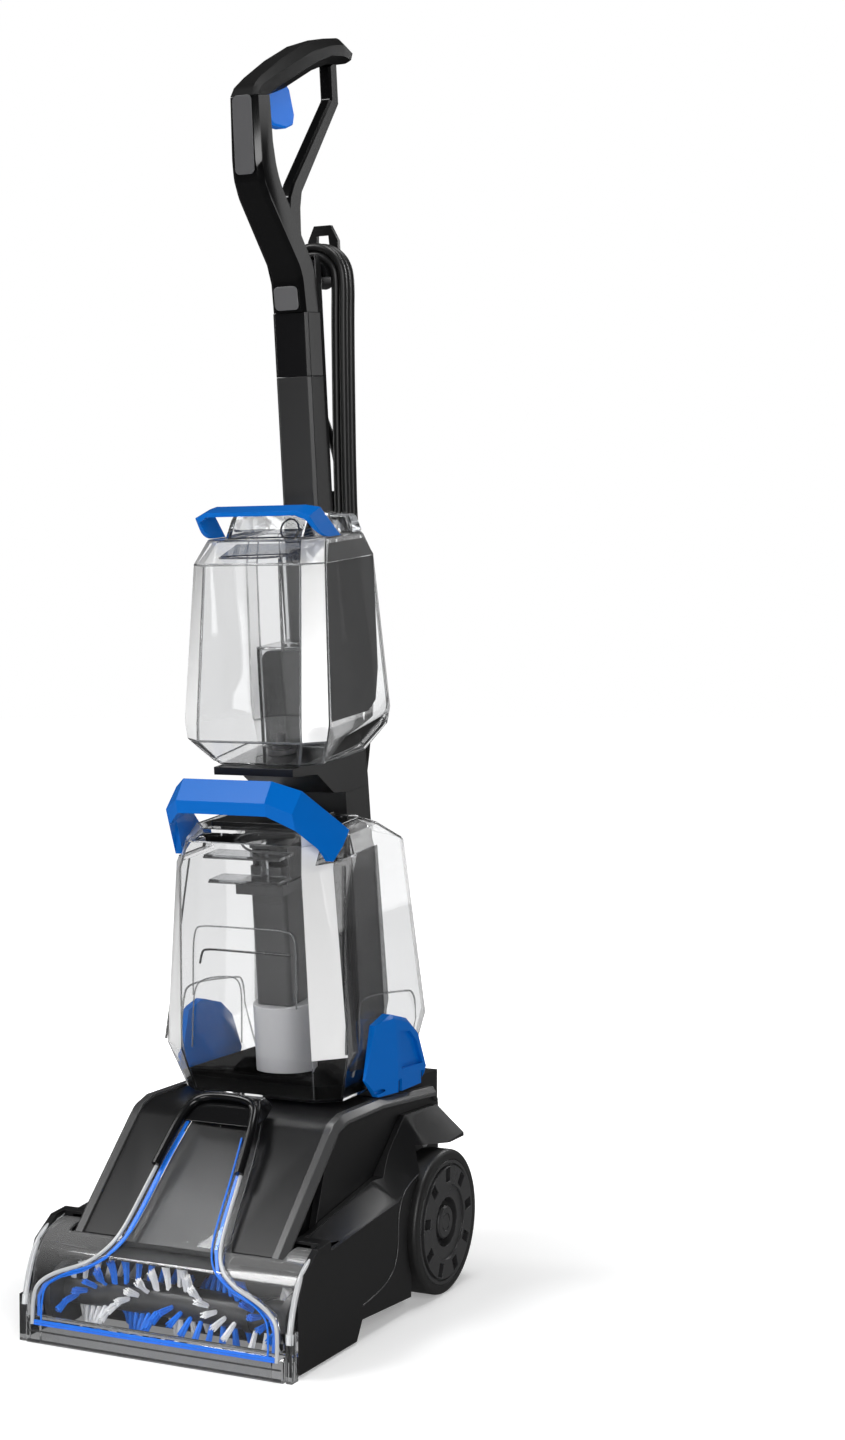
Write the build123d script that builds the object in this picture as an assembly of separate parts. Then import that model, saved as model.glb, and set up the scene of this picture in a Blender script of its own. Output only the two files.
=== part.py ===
"""Upright carpet cleaner: a wheeled foot with a clear suction nozzle and a powered brush, and an upright body
that reclines on the foot and carries a dirty tank, a clean tank, a handle with a trigger and the power cord.

Frame: millimetres, +Z up, -Y is the front of the nozzle, X is the left-right axis, and the origin is on the
floor under the middle of the machine. The upright body is drawn upright in its own frame, whose origin is on
the recline axis, and is then leaned forward onto its stop.
"""

import math
import os

from build123d import *

os.makedirs("parts", exist_ok=True)

# ---------------------------------------------------------------- driving dimensions
NOZZLE_HALF = 131.0  # half width of the nozzle and side panels
FRONT_Y = -189.0  # front edge of the suction lip
WHEEL_R, WHEEL_Y = 65.0, 91.0
WHEEL_IN, WHEEL_OUT = 109.0, 138.5  # inner and outer face of a wheel
WALL = 3.0  # opaque moulded shells
CLEAR_WALL = 2.4  # clear moulded shells
PIVOT_Y, PIVOT_Z = 122.5, 128.0  # recline axis
LEAN = 6.0  # the body's forward lean on its stop, degrees
DECK_Z = 185.0  # top of the foot
BRUSH_Y, BRUSH_Z = -142.0, 37.0
BRUSH_CORE_R, BRUSH_TIP_R = 14.0, 34.5
BRUSH_HALF = 108.0  # half length of the bristled core
CHEEK_IN, CHEEK_OUT = 94.0, 100.5  # the foot's side walls, either side of the body
TRIM_IN, TRIM_OUT = 92.5, 104.0  # the rails along the hump's edges
GAP = 0.4  # between pieces that only sit beside each other
CORD_D = 7.6

NODES = {}


FRAME_SHIFT_Y = 3.7  # brings the middle of the machine over the origin


def put(name, *solids):
    """Keeps the solids of one node."""
    NODES.setdefault(name, []).extend(solids)


def both(name, solid):
    """Keeps a right-hand solid and its mirror image as NAME_right and NAME_left."""
    put(name + "_right", solid)
    put(name + "_left", mirror(solid, about=Plane.YZ))


def pair(name, solid):
    """Keeps a right-hand solid and its mirror image as one node."""
    put(name, solid, mirror(solid, about=Plane.YZ))


def lean(shape):
    """Carries a shape from the upright body's own frame to the machine's."""
    return Pos(0, PIVOT_Y, PIVOT_Z) * Rot(LEAN, 0, 0) * shape


def poly(points):
    return Polyline(*points, close=True)


def side_prism(outline, x0, x1):
    """A (y, z) outline drawn out along X."""
    face = make_face(Plane.YZ.offset(x0) * poly(outline))
    return extrude(face, amount=x1 - x0, dir=(1, 0, 0))


def front_prism(outline, y0, y1):
    """An (x, z) outline drawn out along Y."""
    face = make_face(Plane.XZ.offset(-y0) * poly(outline))
    return extrude(face, amount=y1 - y0, dir=(0, 1, 0))


def flat_prism(outline, z0, z1):
    """An (x, y) outline drawn out along Z."""
    face = make_face(Plane.XY.offset(z0) * poly(outline))
    return extrude(face, amount=z1 - z0, dir=(0, 0, 1))


def block(x0, x1, y0, y1, z0, z1):
    return Pos((x0 + x1) / 2, (y0 + y1) / 2, (z0 + z1) / 2) * Box(x1 - x0, y1 - y0, z1 - z0)


def rod_x(radius, x0, x1, y, z):
    """A cylinder along X."""
    return Pos((x0 + x1) / 2, y, z) * Rot(0, 90, 0) * Cylinder(radius, x1 - x0)


def rod_z(radius, z0, z1, x, y):
    return Pos(x, y, (z0 + z1) / 2) * Cylinder(radius, z1 - z0)


def rod_y(radius, y0, y1, x, z):
    return Pos(x, (y0 + y1) / 2, z) * Rot(90, 0, 0) * Cylinder(radius, y1 - y0)


def mirrored(outline):
    """The right half of an outline, from front to back, closed with its mirror image."""
    return list(outline) + [(-x, y) for x, y in reversed(outline)]


def tank_section(height, front_half, front, side_half, side_front, side_rear, rear, rear_half):
    """A tank's faceted plan at one height, as (height, outline)."""
    half = [(front_half, front), (side_half, side_front), (side_half, side_rear), (rear_half, rear)]
    return height, mirrored(half)


def faceted(sections, inset=0.0):
    """A solid with flat facets between plan sections, taken in by inset on every side."""
    faces = []
    low, high = sections[0][0], sections[-1][0]
    for height, outline in sections:
        z = height
        if height == low:
            z += inset
        if height == high:
            z -= inset
        face = make_face(poly(outline))
        if inset:
            face = offset(face, amount=-inset, kind=Kind.INTERSECTION)
        faces.append(Pos(0, 0, z) * face.faces()[0])
    return loft(faces, ruled=True)


def strip(sections):
    """A faceted bar: flat skin between matching polygons set in space, closed at both ends."""
    faces = []
    for ring, after in zip(sections, sections[1:]):
        for k in range(len(ring)):
            n = (k + 1) % len(ring)
            faces.append((ring[k], ring[n], after[n]))
            faces.append((ring[k], after[n], after[k]))
    for ring in (sections[0], sections[-1]):
        faces += [(ring[0], ring[k], ring[k + 1]) for k in range(1, len(ring) - 1)]
    skin = Shell([Face(Wire.make_polygon([Vector(*p) for p in face], close=True)) for face in faces])
    solid = Solid(skin)
    return solid if solid.volume > 0 else Solid(Shell([-f for f in skin.faces()]))


def bar(stations):
    """A bar whose eight-sided section is given by its front and rear points, half width and corner size."""
    sections = []
    for (fy, fz), (ry, rz), half, corner in stations:
        length = math.hypot(ry - fy, rz - fz)
        dy, dz = (ry - fy) / length, (rz - fz) / length
        side = [(half - corner, 0), (half, corner), (half, length - corner), (half - corner, length)]
        ring = side + [(-x, t) for x, t in reversed(side)]
        sections.append([(x, fy + dy * t, fz + dz * t) for x, t in ring])
    return strip(sections)


def edges_near(shape, test):
    return [e for e in shape.edges() if test(e.center())]


def bevel(shape, test, size):
    """Chamfers the edges whose middles pass the test, as large as the faces beside them allow."""
    edges = edges_near(shape, test)
    for share in (1.0, 0.7, 0.4):
        try:
            return chamfer(edges, size * share)
        except ValueError:
            continue
    print("left sharp:", len(edges), "edges", size)
    return shape


# ---------------------------------------------------------------- foot
HUMP_SLOPE = math.radians(43.7)
HUMP_FOOT = (-152.0, 88.0)  # where the sloping front meets the nozzle
KNEE_Z = 172.0
KNEE_Y = HUMP_FOOT[0] + (KNEE_Z - HUMP_FOOT[1]) / math.tan(HUMP_SLOPE)
DECK_FRONT_Y = KNEE_Y + 26.0
DECK_REAR_Y = 44.0  # behind this only the cheeks go on
CHEEK_REAR_Y = 150.0
CHEEK_CORNER = (142.0, 176.0)
BASE_Z = 12.0


def hump_outline(take_in=0.0, rear=DECK_REAR_Y):
    """Side view of the hump, with its top and front taken in."""
    s, c = math.sin(HUMP_SLOPE), math.cos(HUMP_SLOPE)
    foot_y = HUMP_FOOT[0] + take_in * s + take_in * c * c / s
    return [
        (foot_y, HUMP_FOOT[1] - 8),
        (foot_y, HUMP_FOOT[1]),
        (KNEE_Y + take_in / s * 0.72, KNEE_Z),
        (KNEE_Y + 9 + take_in * 0.6, KNEE_Z + 8 - take_in * 0.8),
        (DECK_FRONT_Y, DECK_Z - take_in),
        (rear, DECK_Z - take_in),
        (rear, HUMP_FOOT[1] - 8),
    ]


CHEEK_TOP = [
    (HUMP_FOOT[0], HUMP_FOOT[1]),
    (KNEE_Y, KNEE_Z),
    (KNEE_Y + 9, KNEE_Z + 8),
    (DECK_FRONT_Y, DECK_Z),
    (30.0, DECK_Z),
    CHEEK_CORNER,
    (CHEEK_REAR_Y, 160.0),
]


def foot_shell():
    """Base pan, sloping cover, cheeks and the rails along the cover's edges."""
    cover = side_prism(hump_outline(2.5), -TRIM_IN + GAP, TRIM_IN - GAP)
    cover -= side_prism(hump_outline(2.5 + WALL, DECK_REAR_Y + 10), -TRIM_IN + GAP + WALL,
        TRIM_IN - GAP - WALL)
    cover -= side_prism(channel_profile(13.0), -130, 130) & funnel_prism(-0.8, -200, -50)
    put("foot_cover", cover)

    pan = block(-CHEEK_IN + GAP, CHEEK_IN - GAP, -98, 118, BASE_Z, 34)
    pan -= block(-CHEEK_IN + GAP + WALL, CHEEK_IN - GAP - WALL, -98 + WALL, 118 - WALL, BASE_Z + WALL, 40)
    pan -= block(BELT_X - 6, BELT_X + 6, -99, -94, BASE_Z + WALL + 1, 40)
    put("base_pan", pan)

    wall = [(-96.0, BASE_Z)] + [(-96.0, 84.0)] + CHEEK_TOP[1:] + [(CHEEK_REAR_Y, 96), (118.0, 40.0),
        (118.0, BASE_Z)]
    cheek = side_prism(wall, CHEEK_IN, CHEEK_OUT)
    cheek -= rod_x(PIN_R + PIN_PLAY, CHEEK_IN - 1, CHEEK_OUT + 1, PIVOT_Y, PIVOT_Z)
    cheek -= rod_x(AXLE_R, CHEEK_IN - 1, CHEEK_OUT + 1, WHEEL_Y, WHEEL_R)
    cheek -= side_prism(rail_band(8.4), CHEEK_IN - 1, CHEEK_OUT + 1)
    pair("cheeks", cheek)

    rail = side_prism(rail_band(8.0), TRIM_IN, TRIM_OUT)
    pair("edge_rails", bevel(rail, lambda p: p.X > TRIM_OUT - 0.1 and on_cheek_top(p.Y, p.Z), 5.0))


def rail_band(depth):
    """The strip under the cheek's top line, in side view."""
    top = CHEEK_TOP[:-1] + [(CHEEK_CORNER[0] + 3.0, CHEEK_CORNER[1] - 6.0)]
    low = []
    for y, z in top:
        slope = z < KNEE_Z + 1 and y < 0
        low.append((y + depth * 0.95, z - depth * 0.3) if slope else (y - (0 if y < 100 else 3), z - depth))
    return top + low[::-1]


def on_cheek_top(y, z):
    for (y0, z0), (y1, z1) in zip(CHEEK_TOP, CHEEK_TOP[1:]):
        if y0 - 0.5 <= y <= y1 + 0.5:
            line = z0 + (z1 - z0) * (y - y0) / (y1 - y0)
            if abs(z - line) < 1.0:
                return True
    return False


PIN_R, PIN_PLAY = 6.0, 0.05
AXLE_R = 5.0
PANEL_IN = CHEEK_OUT + GAP
ARCH_R = WHEEL_R + 4.0

PANEL_OUTLINE = [
    (-177.0, 3.0),
    (-176.0, 61.0),
    (-166.0, 82.0),
    (-142.0, 97.5),
    (-108.0, 100.0),
    (14.0, 120.0),
    (68.0, 164.0),
    (136.0, 161.0),
    (141.0, 133.0),
    (111.0, 133.0),
    (60.0, 140.0),
    (34.0, 100.0),
    (30.0, 12.0),
    (-64.0, 18.0),
    (-74.0, 2.0),
]
SHOULDER = [(-120.0, 97.0, 91.0), (4.0, 118.0, 102.0), (36.0, 138.0, 113.0), (68.0, 164.0, 130.0),
    (146.0, 160.0, 136.0)]


def side_panel():
    """One outer side moulding, with its sloping shoulder and the fender over the wheel."""
    panel = side_prism(PANEL_OUTLINE, PANEL_IN, NOZZLE_HALF)
    stations = []
    for y, inner_z, outer_z in SHOULDER:
        wedge = [(TRIM_OUT + 2, inner_z), (NOZZLE_HALF + 1, outer_z), (NOZZLE_HALF + 1, 200),
            (TRIM_OUT + 2, 200)]
        stations.append(make_face(Plane.XZ.offset(-y) * poly(wedge)))
    panel -= loft(stations, ruled=True)
    panel -= side_prism(rail_band(8.4), PANEL_IN - 1, TRIM_OUT + 0.4)
    arch = rod_x(ARCH_R, TRIM_OUT + 2, NOZZLE_HALF + 5, WHEEL_Y, WHEEL_R)
    panel -= arch
    hollow = offset(make_face(poly(PANEL_OUTLINE)), amount=-WALL - 1, kind=Kind.INTERSECTION)
    core = extrude(Plane.YZ.offset(PANEL_IN - 1) * hollow.faces()[0],
        amount=NOZZLE_HALF - WALL - PANEL_IN + 1)
    core &= block(0, NOZZLE_HALF, -200, 20, 0, 94)
    panel -= core
    panel -= block(PANEL_IN - 1, 125.2, -200, -129.6, 0, 120)
    panel -= block(PANEL_IN - 1, 117, -130, -95.6, 0, 96)
    return panel


def wheel():
    """One rear wheel: tyre, rim with notches round its face, and a hub cap."""
    tyre = rod_x(WHEEL_R, WHEEL_IN, WHEEL_OUT - 1.5, WHEEL_Y, WHEEL_R)
    tyre = fillet(tyre.edges().filter_by(GeomType.CIRCLE), 4.0)
    tyre -= rod_x(56.0, WHEEL_IN - 1, WHEEL_OUT + 1, WHEEL_Y, WHEEL_R)
    both("tyre", tyre)

    rim = rod_x(55.8, WHEEL_IN + 2, WHEEL_OUT - 1.5, WHEEL_Y, WHEEL_R)
    rim -= rod_x(52.5, WHEEL_OUT - 4.0, WHEEL_OUT, WHEEL_Y, WHEEL_R)
    rim += rod_x(50.5, WHEEL_IN + 4, WHEEL_OUT, WHEEL_Y, WHEEL_R)
    rim -= rod_x(33.5, WHEEL_OUT - 1.8, WHEEL_OUT + 1, WHEEL_Y, WHEEL_R)
    rim -= rod_x(22.0, WHEEL_OUT - 11.0, WHEEL_OUT + 1, WHEEL_Y, WHEEL_R)
    rim -= rod_x(50.0, WHEEL_IN + 1, WHEEL_OUT - 13.0, WHEEL_Y, WHEEL_R)
    rim += rod_x(11.0, WHEEL_IN + 2, WHEEL_OUT - 12.0, WHEEL_Y, WHEEL_R)
    notch = Box(14, 9, 12)
    for i in range(9):
        turn = Pos(WHEEL_OUT, WHEEL_Y, WHEEL_R) * Rot(360 / 9 * i, 0, 0)
        rim -= turn * Pos(-2, 0, 43) * notch
    rim -= rod_x(AXLE_R + 0.05, WHEEL_IN - 1, WHEEL_OUT - 13.0, WHEEL_Y, WHEEL_R)
    both("rim", rim)

    cap = rod_x(15.0, WHEEL_OUT - 10.8, WHEEL_OUT - 2.0, WHEEL_Y, WHEEL_R)
    cap = chamfer(cap.edges().filter_by(GeomType.CIRCLE).sort_by(Axis.X)[-1:], 1.5)
    cap -= rod_x(8.0, WHEEL_OUT - 3.2, WHEEL_OUT, WHEEL_Y, WHEEL_R)
    cap += rod_x(7.0, WHEEL_OUT - 4.0, WHEEL_OUT - 2.4, WHEEL_Y, WHEEL_R)
    both("hub_cap", cap)
    pair("foot_pins", rod_x(AXLE_R - 0.02, CHEEK_IN - 0.6, WHEEL_OUT - 13.5, WHEEL_Y, WHEEL_R)
         + rod_x(AXLE_R + 5, CHEEK_IN - 4, CHEEK_IN - 0.4, WHEEL_Y, WHEEL_R))


# ---------------------------------------------------------------- nozzle
COVER_TOP = (-129.0, 93.5)


def cover_profile(take_in):
    """Side view of the convex nozzle cover, as a face from its skin down to the floor side."""
    t = take_in
    skin = ThreePointArc((COVER_TOP[0], COVER_TOP[1] - t), (-163 + 0.8 * t, 82.5 - 0.6 * t), (-179 + t, 52))
    low = Polyline((-179 + t, 52), (-183 + t, 38), (-183 + t, 30), (COVER_TOP[0], 30),
        (COVER_TOP[0], COVER_TOP[1] - t))
    return make_face(Plane.YZ * (skin + low))


def slab(face, half):
    return extrude(Pos(-half, 0, 0) * face, amount=2 * half, dir=(1, 0, 0))


FUNNEL = [
    (118.0, 16.0), (118.5, 40.0), (113.0, 52.0), (96.0, 62.0), (74.0, 69.0),
    (58.0, 79.0), (49.0, 92.0), (45.5, 110.0), (41.0, 148.0), (37.0, 168.0), (33.5, 182.0), (31.5, 191.0),
]


def funnel_prism(inset, y0, y1):
    """The channel's front outline, wide at the lip and narrow at the top, drawn out along Y."""
    face = make_face(poly(mirrored(FUNNEL)))
    if inset:
        face = offset(face, amount=-inset, kind=Kind.INTERSECTION).faces()[0]
    return extrude(Plane.XZ.offset(-y0) * face, amount=y1 - y0, dir=(0, 1, 0))


def channel_profile(stand_off, drop=0.0):
    """Side view between the channel's skin and a surface stand_off behind it."""
    front = [(-188.0, 16.0), (-186.5, 40.0), (-184.0, 60.0), (-176.0, 76.0), (-160.0, 92.0),
        (-74.0, 184.0), (-62.0, 193.0)]
    s = stand_off
    rear = [(-188.0 + s, 16.0), (-186.5 + s, 40.0), (-184.0 + s, 57.0), (-176.0 + s * 0.9, 76.0 - s * 0.6),
            (-160.0 + s * 0.8, 92.0 - s * 0.7), (-74.0 + s * 0.8, 184.0 - s * 0.7), (-62.0 + s * 0.8,
                193.0 - s * 0.7)]
    return [(y, z - drop) for y, z in front] + rear[::-1]


def nozzle():
    """The lift-off clear nozzle: cover, suction channel, gasket, lip, corner guards and top grip."""
    half = 124.5
    cover = slab(cover_profile(0), half) - slab(cover_profile(CLEAR_WALL), half + 1)
    cover -= funnel_prism(1.5, -200, -100)
    cover -= block(-TRIM_OUT - 0.6, TRIM_OUT + 0.6, -153.4, -100, 20, 120)
    put("nozzle_cover", cover)

    skin = side_prism(channel_profile(2.2), -130, 130) & funnel_prism(0, -200, -50)
    body = side_prism(channel_profile(12.0), -130, 130) & funnel_prism(0, -200, -50)
    inner = side_prism(channel_profile(12.5), -130, 130) & funnel_prism(3.0, -200, -50)
    window = skin + (body - inner)
    window -= block(-140, 140, -200, -40, 0, 22)
    window -= slab(cover_profile(0), 140)
    put("channel_window", window)

    ring = (side_prism(channel_profile(3.6), -130, 130) - side_prism(channel_profile(2.4), -130, 130))
    ring &= funnel_prism(3.2, -200, -50) - funnel_prism(6.2, -200, -50)
    ring -= slab(cover_profile(-0.3), 140)
    ring -= block(-140, 140, -200, -40, 0, 22.4)
    put("channel_seal", *[s for s in ring.solids() if s.volume > 20])

    lip = block(-124, 124, FRONT_Y, FRONT_Y + 10, 0, 21.6)
    lip = bevel(lip, lambda p: p.Y < FRONT_Y + 1 and p.Z > 20, 4.0)
    lip -= block(-112, 112, FRONT_Y + 3.2, FRONT_Y + 6.4, -1, 18)

    guard = block(124.6, NOZZLE_HALF + 0.6, FRONT_Y + 1, -177.6, 0, 40)
    guard = fillet(guard.edges().filter_by(Axis.Z).sort_by(Axis.Y)[:1], 3.0)
    guard += block(123, 125, FRONT_Y + 2, -180, 2, 21)
    put("suction_lip", lip + guard + mirror(guard, about=Plane.YZ))

    grip = front_prism([(-42, 160), (42, 160), (36, 186), (30, 196), (-30, 196), (-36, 186)], -96, -46)
    grip &= side_prism([(-84, 176), (-60, 196), (-50, 196), (-46, 187.5), (-66, 178)], -60, 60)
    grip -= side_prism(channel_profile(12.4), -130, 130) & funnel_prism(-0.2, -200, -50)
    put("nozzle_grip", grip.solids().sort_by(SortBy.VOLUME)[-1])


def brush():
    """The powered brush: core, two colours of tufts, its drive pulley, and the bearings that hold it."""
    core = rod_x(BRUSH_CORE_R, -BRUSH_HALF, BRUSH_HALF, BRUSH_Y, BRUSH_Z)
    core += rod_x(4.0, -BRUSH_HALF - 9, BRUSH_HALF + 9, BRUSH_Y, BRUSH_Z)
    put("brush_core", core)

    tuft_rows, tufts, twist = 4, 13, 200.0
    for row in range(tuft_rows):
        name = "bristles_white" if row % 2 == 0 else "bristles_blue"
        for i in range(tufts):
            share = i / (tufts - 1)
            x = (share - 0.5) * 2 * (BRUSH_HALF - 8)
            if abs(x - BELT_X) < 7.5:
                continue
            chevron = abs(share - 0.5) * 2
            angle = row * 360 / tuft_rows + twist * chevron
            length = BRUSH_TIP_R - BRUSH_CORE_R - 0.1
            tuft = Pos(0, 0, BRUSH_CORE_R + 0.1 + length / 2) * Cone(2.4, 3.6, length)
            put(name, Pos(x, BRUSH_Y, BRUSH_Z) * Rot(angle, 0, 0) * tuft)


MOTOR_Y, MOTOR_Z = -66.0, 52.0
PULLEY_R = 9.0
BELT_X = 70.0
BELT_IN, BELT_T = 0.3, 1.6  # the belt's play round its pulleys, and its thickness


def belt_loop(stand_off, spare=0.0):
    """The solid inside a belt round the brush core and the motor's pulley."""
    ends = ((BRUSH_Y, BRUSH_Z, BRUSH_CORE_R + stand_off), (MOTOR_Y, MOTOR_Z, PULLEY_R + stand_off))
    (y0, z0, r0), (y1, z1, r1) = ends
    run = math.hypot(y1 - y0, z1 - z0)
    along, tip = math.atan2(z1 - z0, y1 - y0), math.acos((r0 - r1) / run)
    web = []
    for y, z, r, order in ((y0, z0, r0, (1, -1)), (y1, z1, r1, (-1, 1))):
        web += [(y + r * math.cos(along + s * tip), z + r * math.sin(along + s * tip)) for s in order]
    x0, x1 = BELT_X - 3.4 - spare, BELT_X + 3.4 + spare
    return side_prism(web, x0, x1) + rod_x(r0, x0, x1, y0, z0) + rod_x(r1, x0, x1, y1, z1)



def foot_inside():
    """What the foot holds: brush chamber, motors, belt drive, pump, spray bar and screws."""
    outer = rod_x(41.0, -116, 116, BRUSH_Y, BRUSH_Z) - rod_x(38.0, -117, 117, BRUSH_Y, BRUSH_Z)
    chamber = outer & side_prism([(-150, 50), (-170, 90), (-96, 90), (-96, 20), (-118, 4), (-142, 37)],
        -116, 116)
    chamber -= block(BELT_X - 6, BELT_X + 6, -130, -90, 10, 90)
    ends = rod_x(33, 109.2, 116, BRUSH_Y, BRUSH_Z) & block(100, 120, -200, -100, 6, 80)
    ends += block(109.2, 116, -112, -98, 20, 76)
    ends -= rod_x(4.05, 100, 120, BRUSH_Y, BRUSH_Z)
    put("brush_chamber", chamber + ends + mirror(ends, about=Plane.YZ))

    motor = rod_z(34, 66, 128, 0, -8) + rod_z(9, 60, 66, 0, -8) + rod_z(46, 128, 170, 0, -8)
    put("suction_motor", motor - rod_z(31.5, 68.5, 130.5, 0, -8) - rod_z(43.5, 130.5, 167.5, 0, -8))
    motor = rod_x(19, -40, 30, MOTOR_Y, MOTOR_Z) - rod_x(16, -37, 27, MOTOR_Y, MOTOR_Z)
    put("brush_motor", motor + rod_x(2.5, 30, BELT_X + 5, MOTOR_Y, MOTOR_Z))
    pulley = rod_x(PULLEY_R, BELT_X - 4, BELT_X + 4, MOTOR_Y, MOTOR_Z) + rod_x(PULLEY_R + 2, BELT_X - 5.5,
        BELT_X - 4.4, MOTOR_Y, MOTOR_Z)
    pulley += rod_x(PULLEY_R + 2, BELT_X + 4.4, BELT_X + 5.5, MOTOR_Y, MOTOR_Z)
    pulley += rod_x(PULLEY_R - 1, BELT_X - 5, BELT_X + 5, MOTOR_Y, MOTOR_Z)
    put("motor_pulley", pulley - rod_x(2.55, BELT_X - 8, BELT_X + 8, MOTOR_Y, MOTOR_Z))
    put("drive_belt", belt_loop(BELT_IN + BELT_T) - belt_loop(BELT_IN, 10))
    put("pump", block(-80, -46, -60, -8, 40, 74) + rod_x(8, -46, -30, -34, 57) - block(-77.5, -48.5,
        -57.5, -10.5, 42.5, 71.5))
    bar = rod_x(5, -86, 86, -112, 100)
    for x in (-60, -20, 20, 60):
        bar += Pos(x, -112, 92) * Cone(2, 4, 10)
    put("spray_bar", bar)

    pair("foot_pins", rod_x(PIN_R, EAR_IN, CHEEK_OUT - 0.2, PIVOT_Y, PIVOT_Z))
    screws = []
    for x in (-84, 84):
        for y in (-80, 100):
            screws.append(rod_z(3.4, BASE_Z - 2.2, BASE_Z - 0.05, x, y))
    put("base_screws", *screws)


# ---------------------------------------------------------------- upright body, in its own frame
EAR_IN, EAR_OUT = 82.0, 90.0
SHELF_TOP = 186.2
SPINE_HALF, SPINE_SPLIT, SPINE_REAR = 30.0, 34.0, 64.0
LOW_SPINE_HALF = 38.0
SPINE_TOP = 458.0
BRIDGE_LOW, BRIDGE_TOP = 326.0, 363.6
POLE_HALF, POLE_FRONT, POLE_REAR = 18.0, 6.0, 48.0
SEAM_LOW, SEAM_TOP = 703.0, 760.0
HOOK_W, LOW_HOOK_W = 791.0, 432.0


def yoke():
    """The body's foot: a platform under the dirty tank with two ears on the recline pins."""
    shelf = block(-EAR_OUT, EAR_OUT, 52 - PIVOT_Y, 170 - PIVOT_Y, 150 - PIVOT_Z, SHELF_TOP - PIVOT_Z)
    shelf -= block(-EAR_OUT + 4, EAR_OUT - 4, 56 - PIVOT_Y, 166 - PIVOT_Y, 140 - PIVOT_Z, 182 - PIVOT_Z)
    for side in (-1, 1):
        ear = rod_x(21, *sorted((side * EAR_IN, side * EAR_OUT)), 0, 0)
        ear += block(*sorted((side * EAR_IN, side * EAR_OUT)), -18, 18, 0, 24)
        ear -= rod_x(PIN_R + PIN_PLAY, *sorted((side * (EAR_IN - 1), side * (EAR_OUT + 1))), 0, 0)
        shelf += ear
    shelf = Pos(0, PIVOT_Y, PIVOT_Z) * shelf
    for lug in latch_lugs():
        shelf += lug
    put("yoke", shelf)


def spine():
    """The column behind the dirty tank: two mouldings, with the shelf and box under the clean tank."""
    front = side_prism([(-4, 50), (SPINE_SPLIT, 50), (SPINE_SPLIT, 340), (-4, 326)], -LOW_SPINE_HALF,
        LOW_SPINE_HALF)
    shelf = [(-104, BRIDGE_TOP), (-104, BRIDGE_TOP - 7), (-60, BRIDGE_TOP - 12), (-30, BRIDGE_LOW + 4),
        (-4, BRIDGE_LOW),
             (SPINE_SPLIT, BRIDGE_LOW), (SPINE_SPLIT, BRIDGE_TOP)]
    front += side_prism(shelf, -40, 40)
    box = block(-SPINE_HALF, SPINE_HALF, BOX_FRONT, SPINE_SPLIT, BRIDGE_TOP - 4, SPINE_TOP)
    front += fillet(edges_near(box, lambda p: p.Z > SPINE_TOP - 1 and abs(p.X) > SPINE_HALF - 1), 9.0)
    front -= block(-LOW_SPINE_HALF + WALL, LOW_SPINE_HALF - WALL, -4 + WALL, SPINE_SPLIT, 56, 318)
    front -= block(-SPINE_HALF + WALL, SPINE_HALF - WALL, BOX_FRONT + WALL, SPINE_SPLIT, BRIDGE_TOP,
        SPINE_TOP - WALL)
    put("spine_front", lean(front) - block(-200, 200, -300, 300, 0, SHELF_TOP))

    rear = [(SPINE_SPLIT + GAP, 62), (66, 70), (72, 120), (66, 250), (SPINE_REAR, 330),
        (SPINE_REAR - 4, 385), (52.6, 395), (52.6, SPINE_TOP - 2), (SPINE_SPLIT + GAP, SPINE_TOP)]
    back = side_prism(rear, -SPINE_HALF, SPINE_HALF)
    back = bevel(back, lambda p: abs(abs(p.X) - SPINE_HALF) < 0.1 and p.Y > 51 and 72 < p.Z < 400, 6.0)
    back -= block(-SPINE_HALF + 7, SPINE_HALF - 7, SPINE_SPLIT, 47, 76, SPINE_TOP - 8)
    back -= block(-SPINE_HALF + 7, SPINE_HALF - 7, 46, 58, 90, 380)
    back -= block(-8.4, 8.4, SWITCH_V - 9, SWITCH_V + 4, SWITCH_W - 12.4, SWITCH_W + 12.4)
    put("spine_back", lean(back))


BOX_FRONT = -24.0


def pole():
    """The two-piece pole, and the collar under the handle."""
    plan = mirrored([(POLE_HALF - 3, POLE_FRONT), (POLE_HALF, POLE_FRONT + 2.5), (POLE_HALF, 31),
        (POLE_HALF - 2.5, 33.5)])
    hollow = mirrored([(POLE_HALF - 5, POLE_FRONT + WALL), (POLE_HALF - 3, POLE_FRONT + 5),
        (POLE_HALF - 3, 29), (POLE_HALF - 5, 30.5)])
    front = flat_prism(plan, SPINE_TOP + GAP, SEAM_LOW - 0.3) - flat_prism(hollow, SPINE_TOP, SEAM_LOW)
    put("pole_front", lean(front))
    rear_plan = mirrored([(14.5, 33.9), (14.5, 44), (11, POLE_REAR)])
    rear_hollow = mirrored([(11.5, 33), (11.5, 43), (9, POLE_REAR - WALL)])
    rear = flat_prism(rear_plan, SPINE_TOP + GAP, 812) - flat_prism(rear_hollow, SPINE_TOP + 6, 806)
    put("pole_back", lean(rear))
    collar = flat_prism(plan, SEAM_LOW, SEAM_TOP - 0.3)
    put("pole_collar", lean(collar - flat_prism(hollow, SEAM_LOW - 1, SEAM_TOP)))


SWITCH_V, SWITCH_W = 64.8, 300.0


def power_switch():
    """The rocker on the spine's back."""
    rocker = side_prism([(-3.4, -11), (-3.4, 11), (1.5, 11), (3.2, 9.5), (0.4, 0), (1.6, -9.5),
        (0.4, -11)], -8, 8)
    rocker -= rod_x(1.55, -9, 9, -1.4, 0)
    put("power_switch", lean(Pos(0, SWITCH_V, SWITCH_W) * rocker))
    put("pivot_pins", lean(rod_x(1.5, -8.3, 8.3, SWITCH_V - 1.4, SWITCH_W)))


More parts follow.
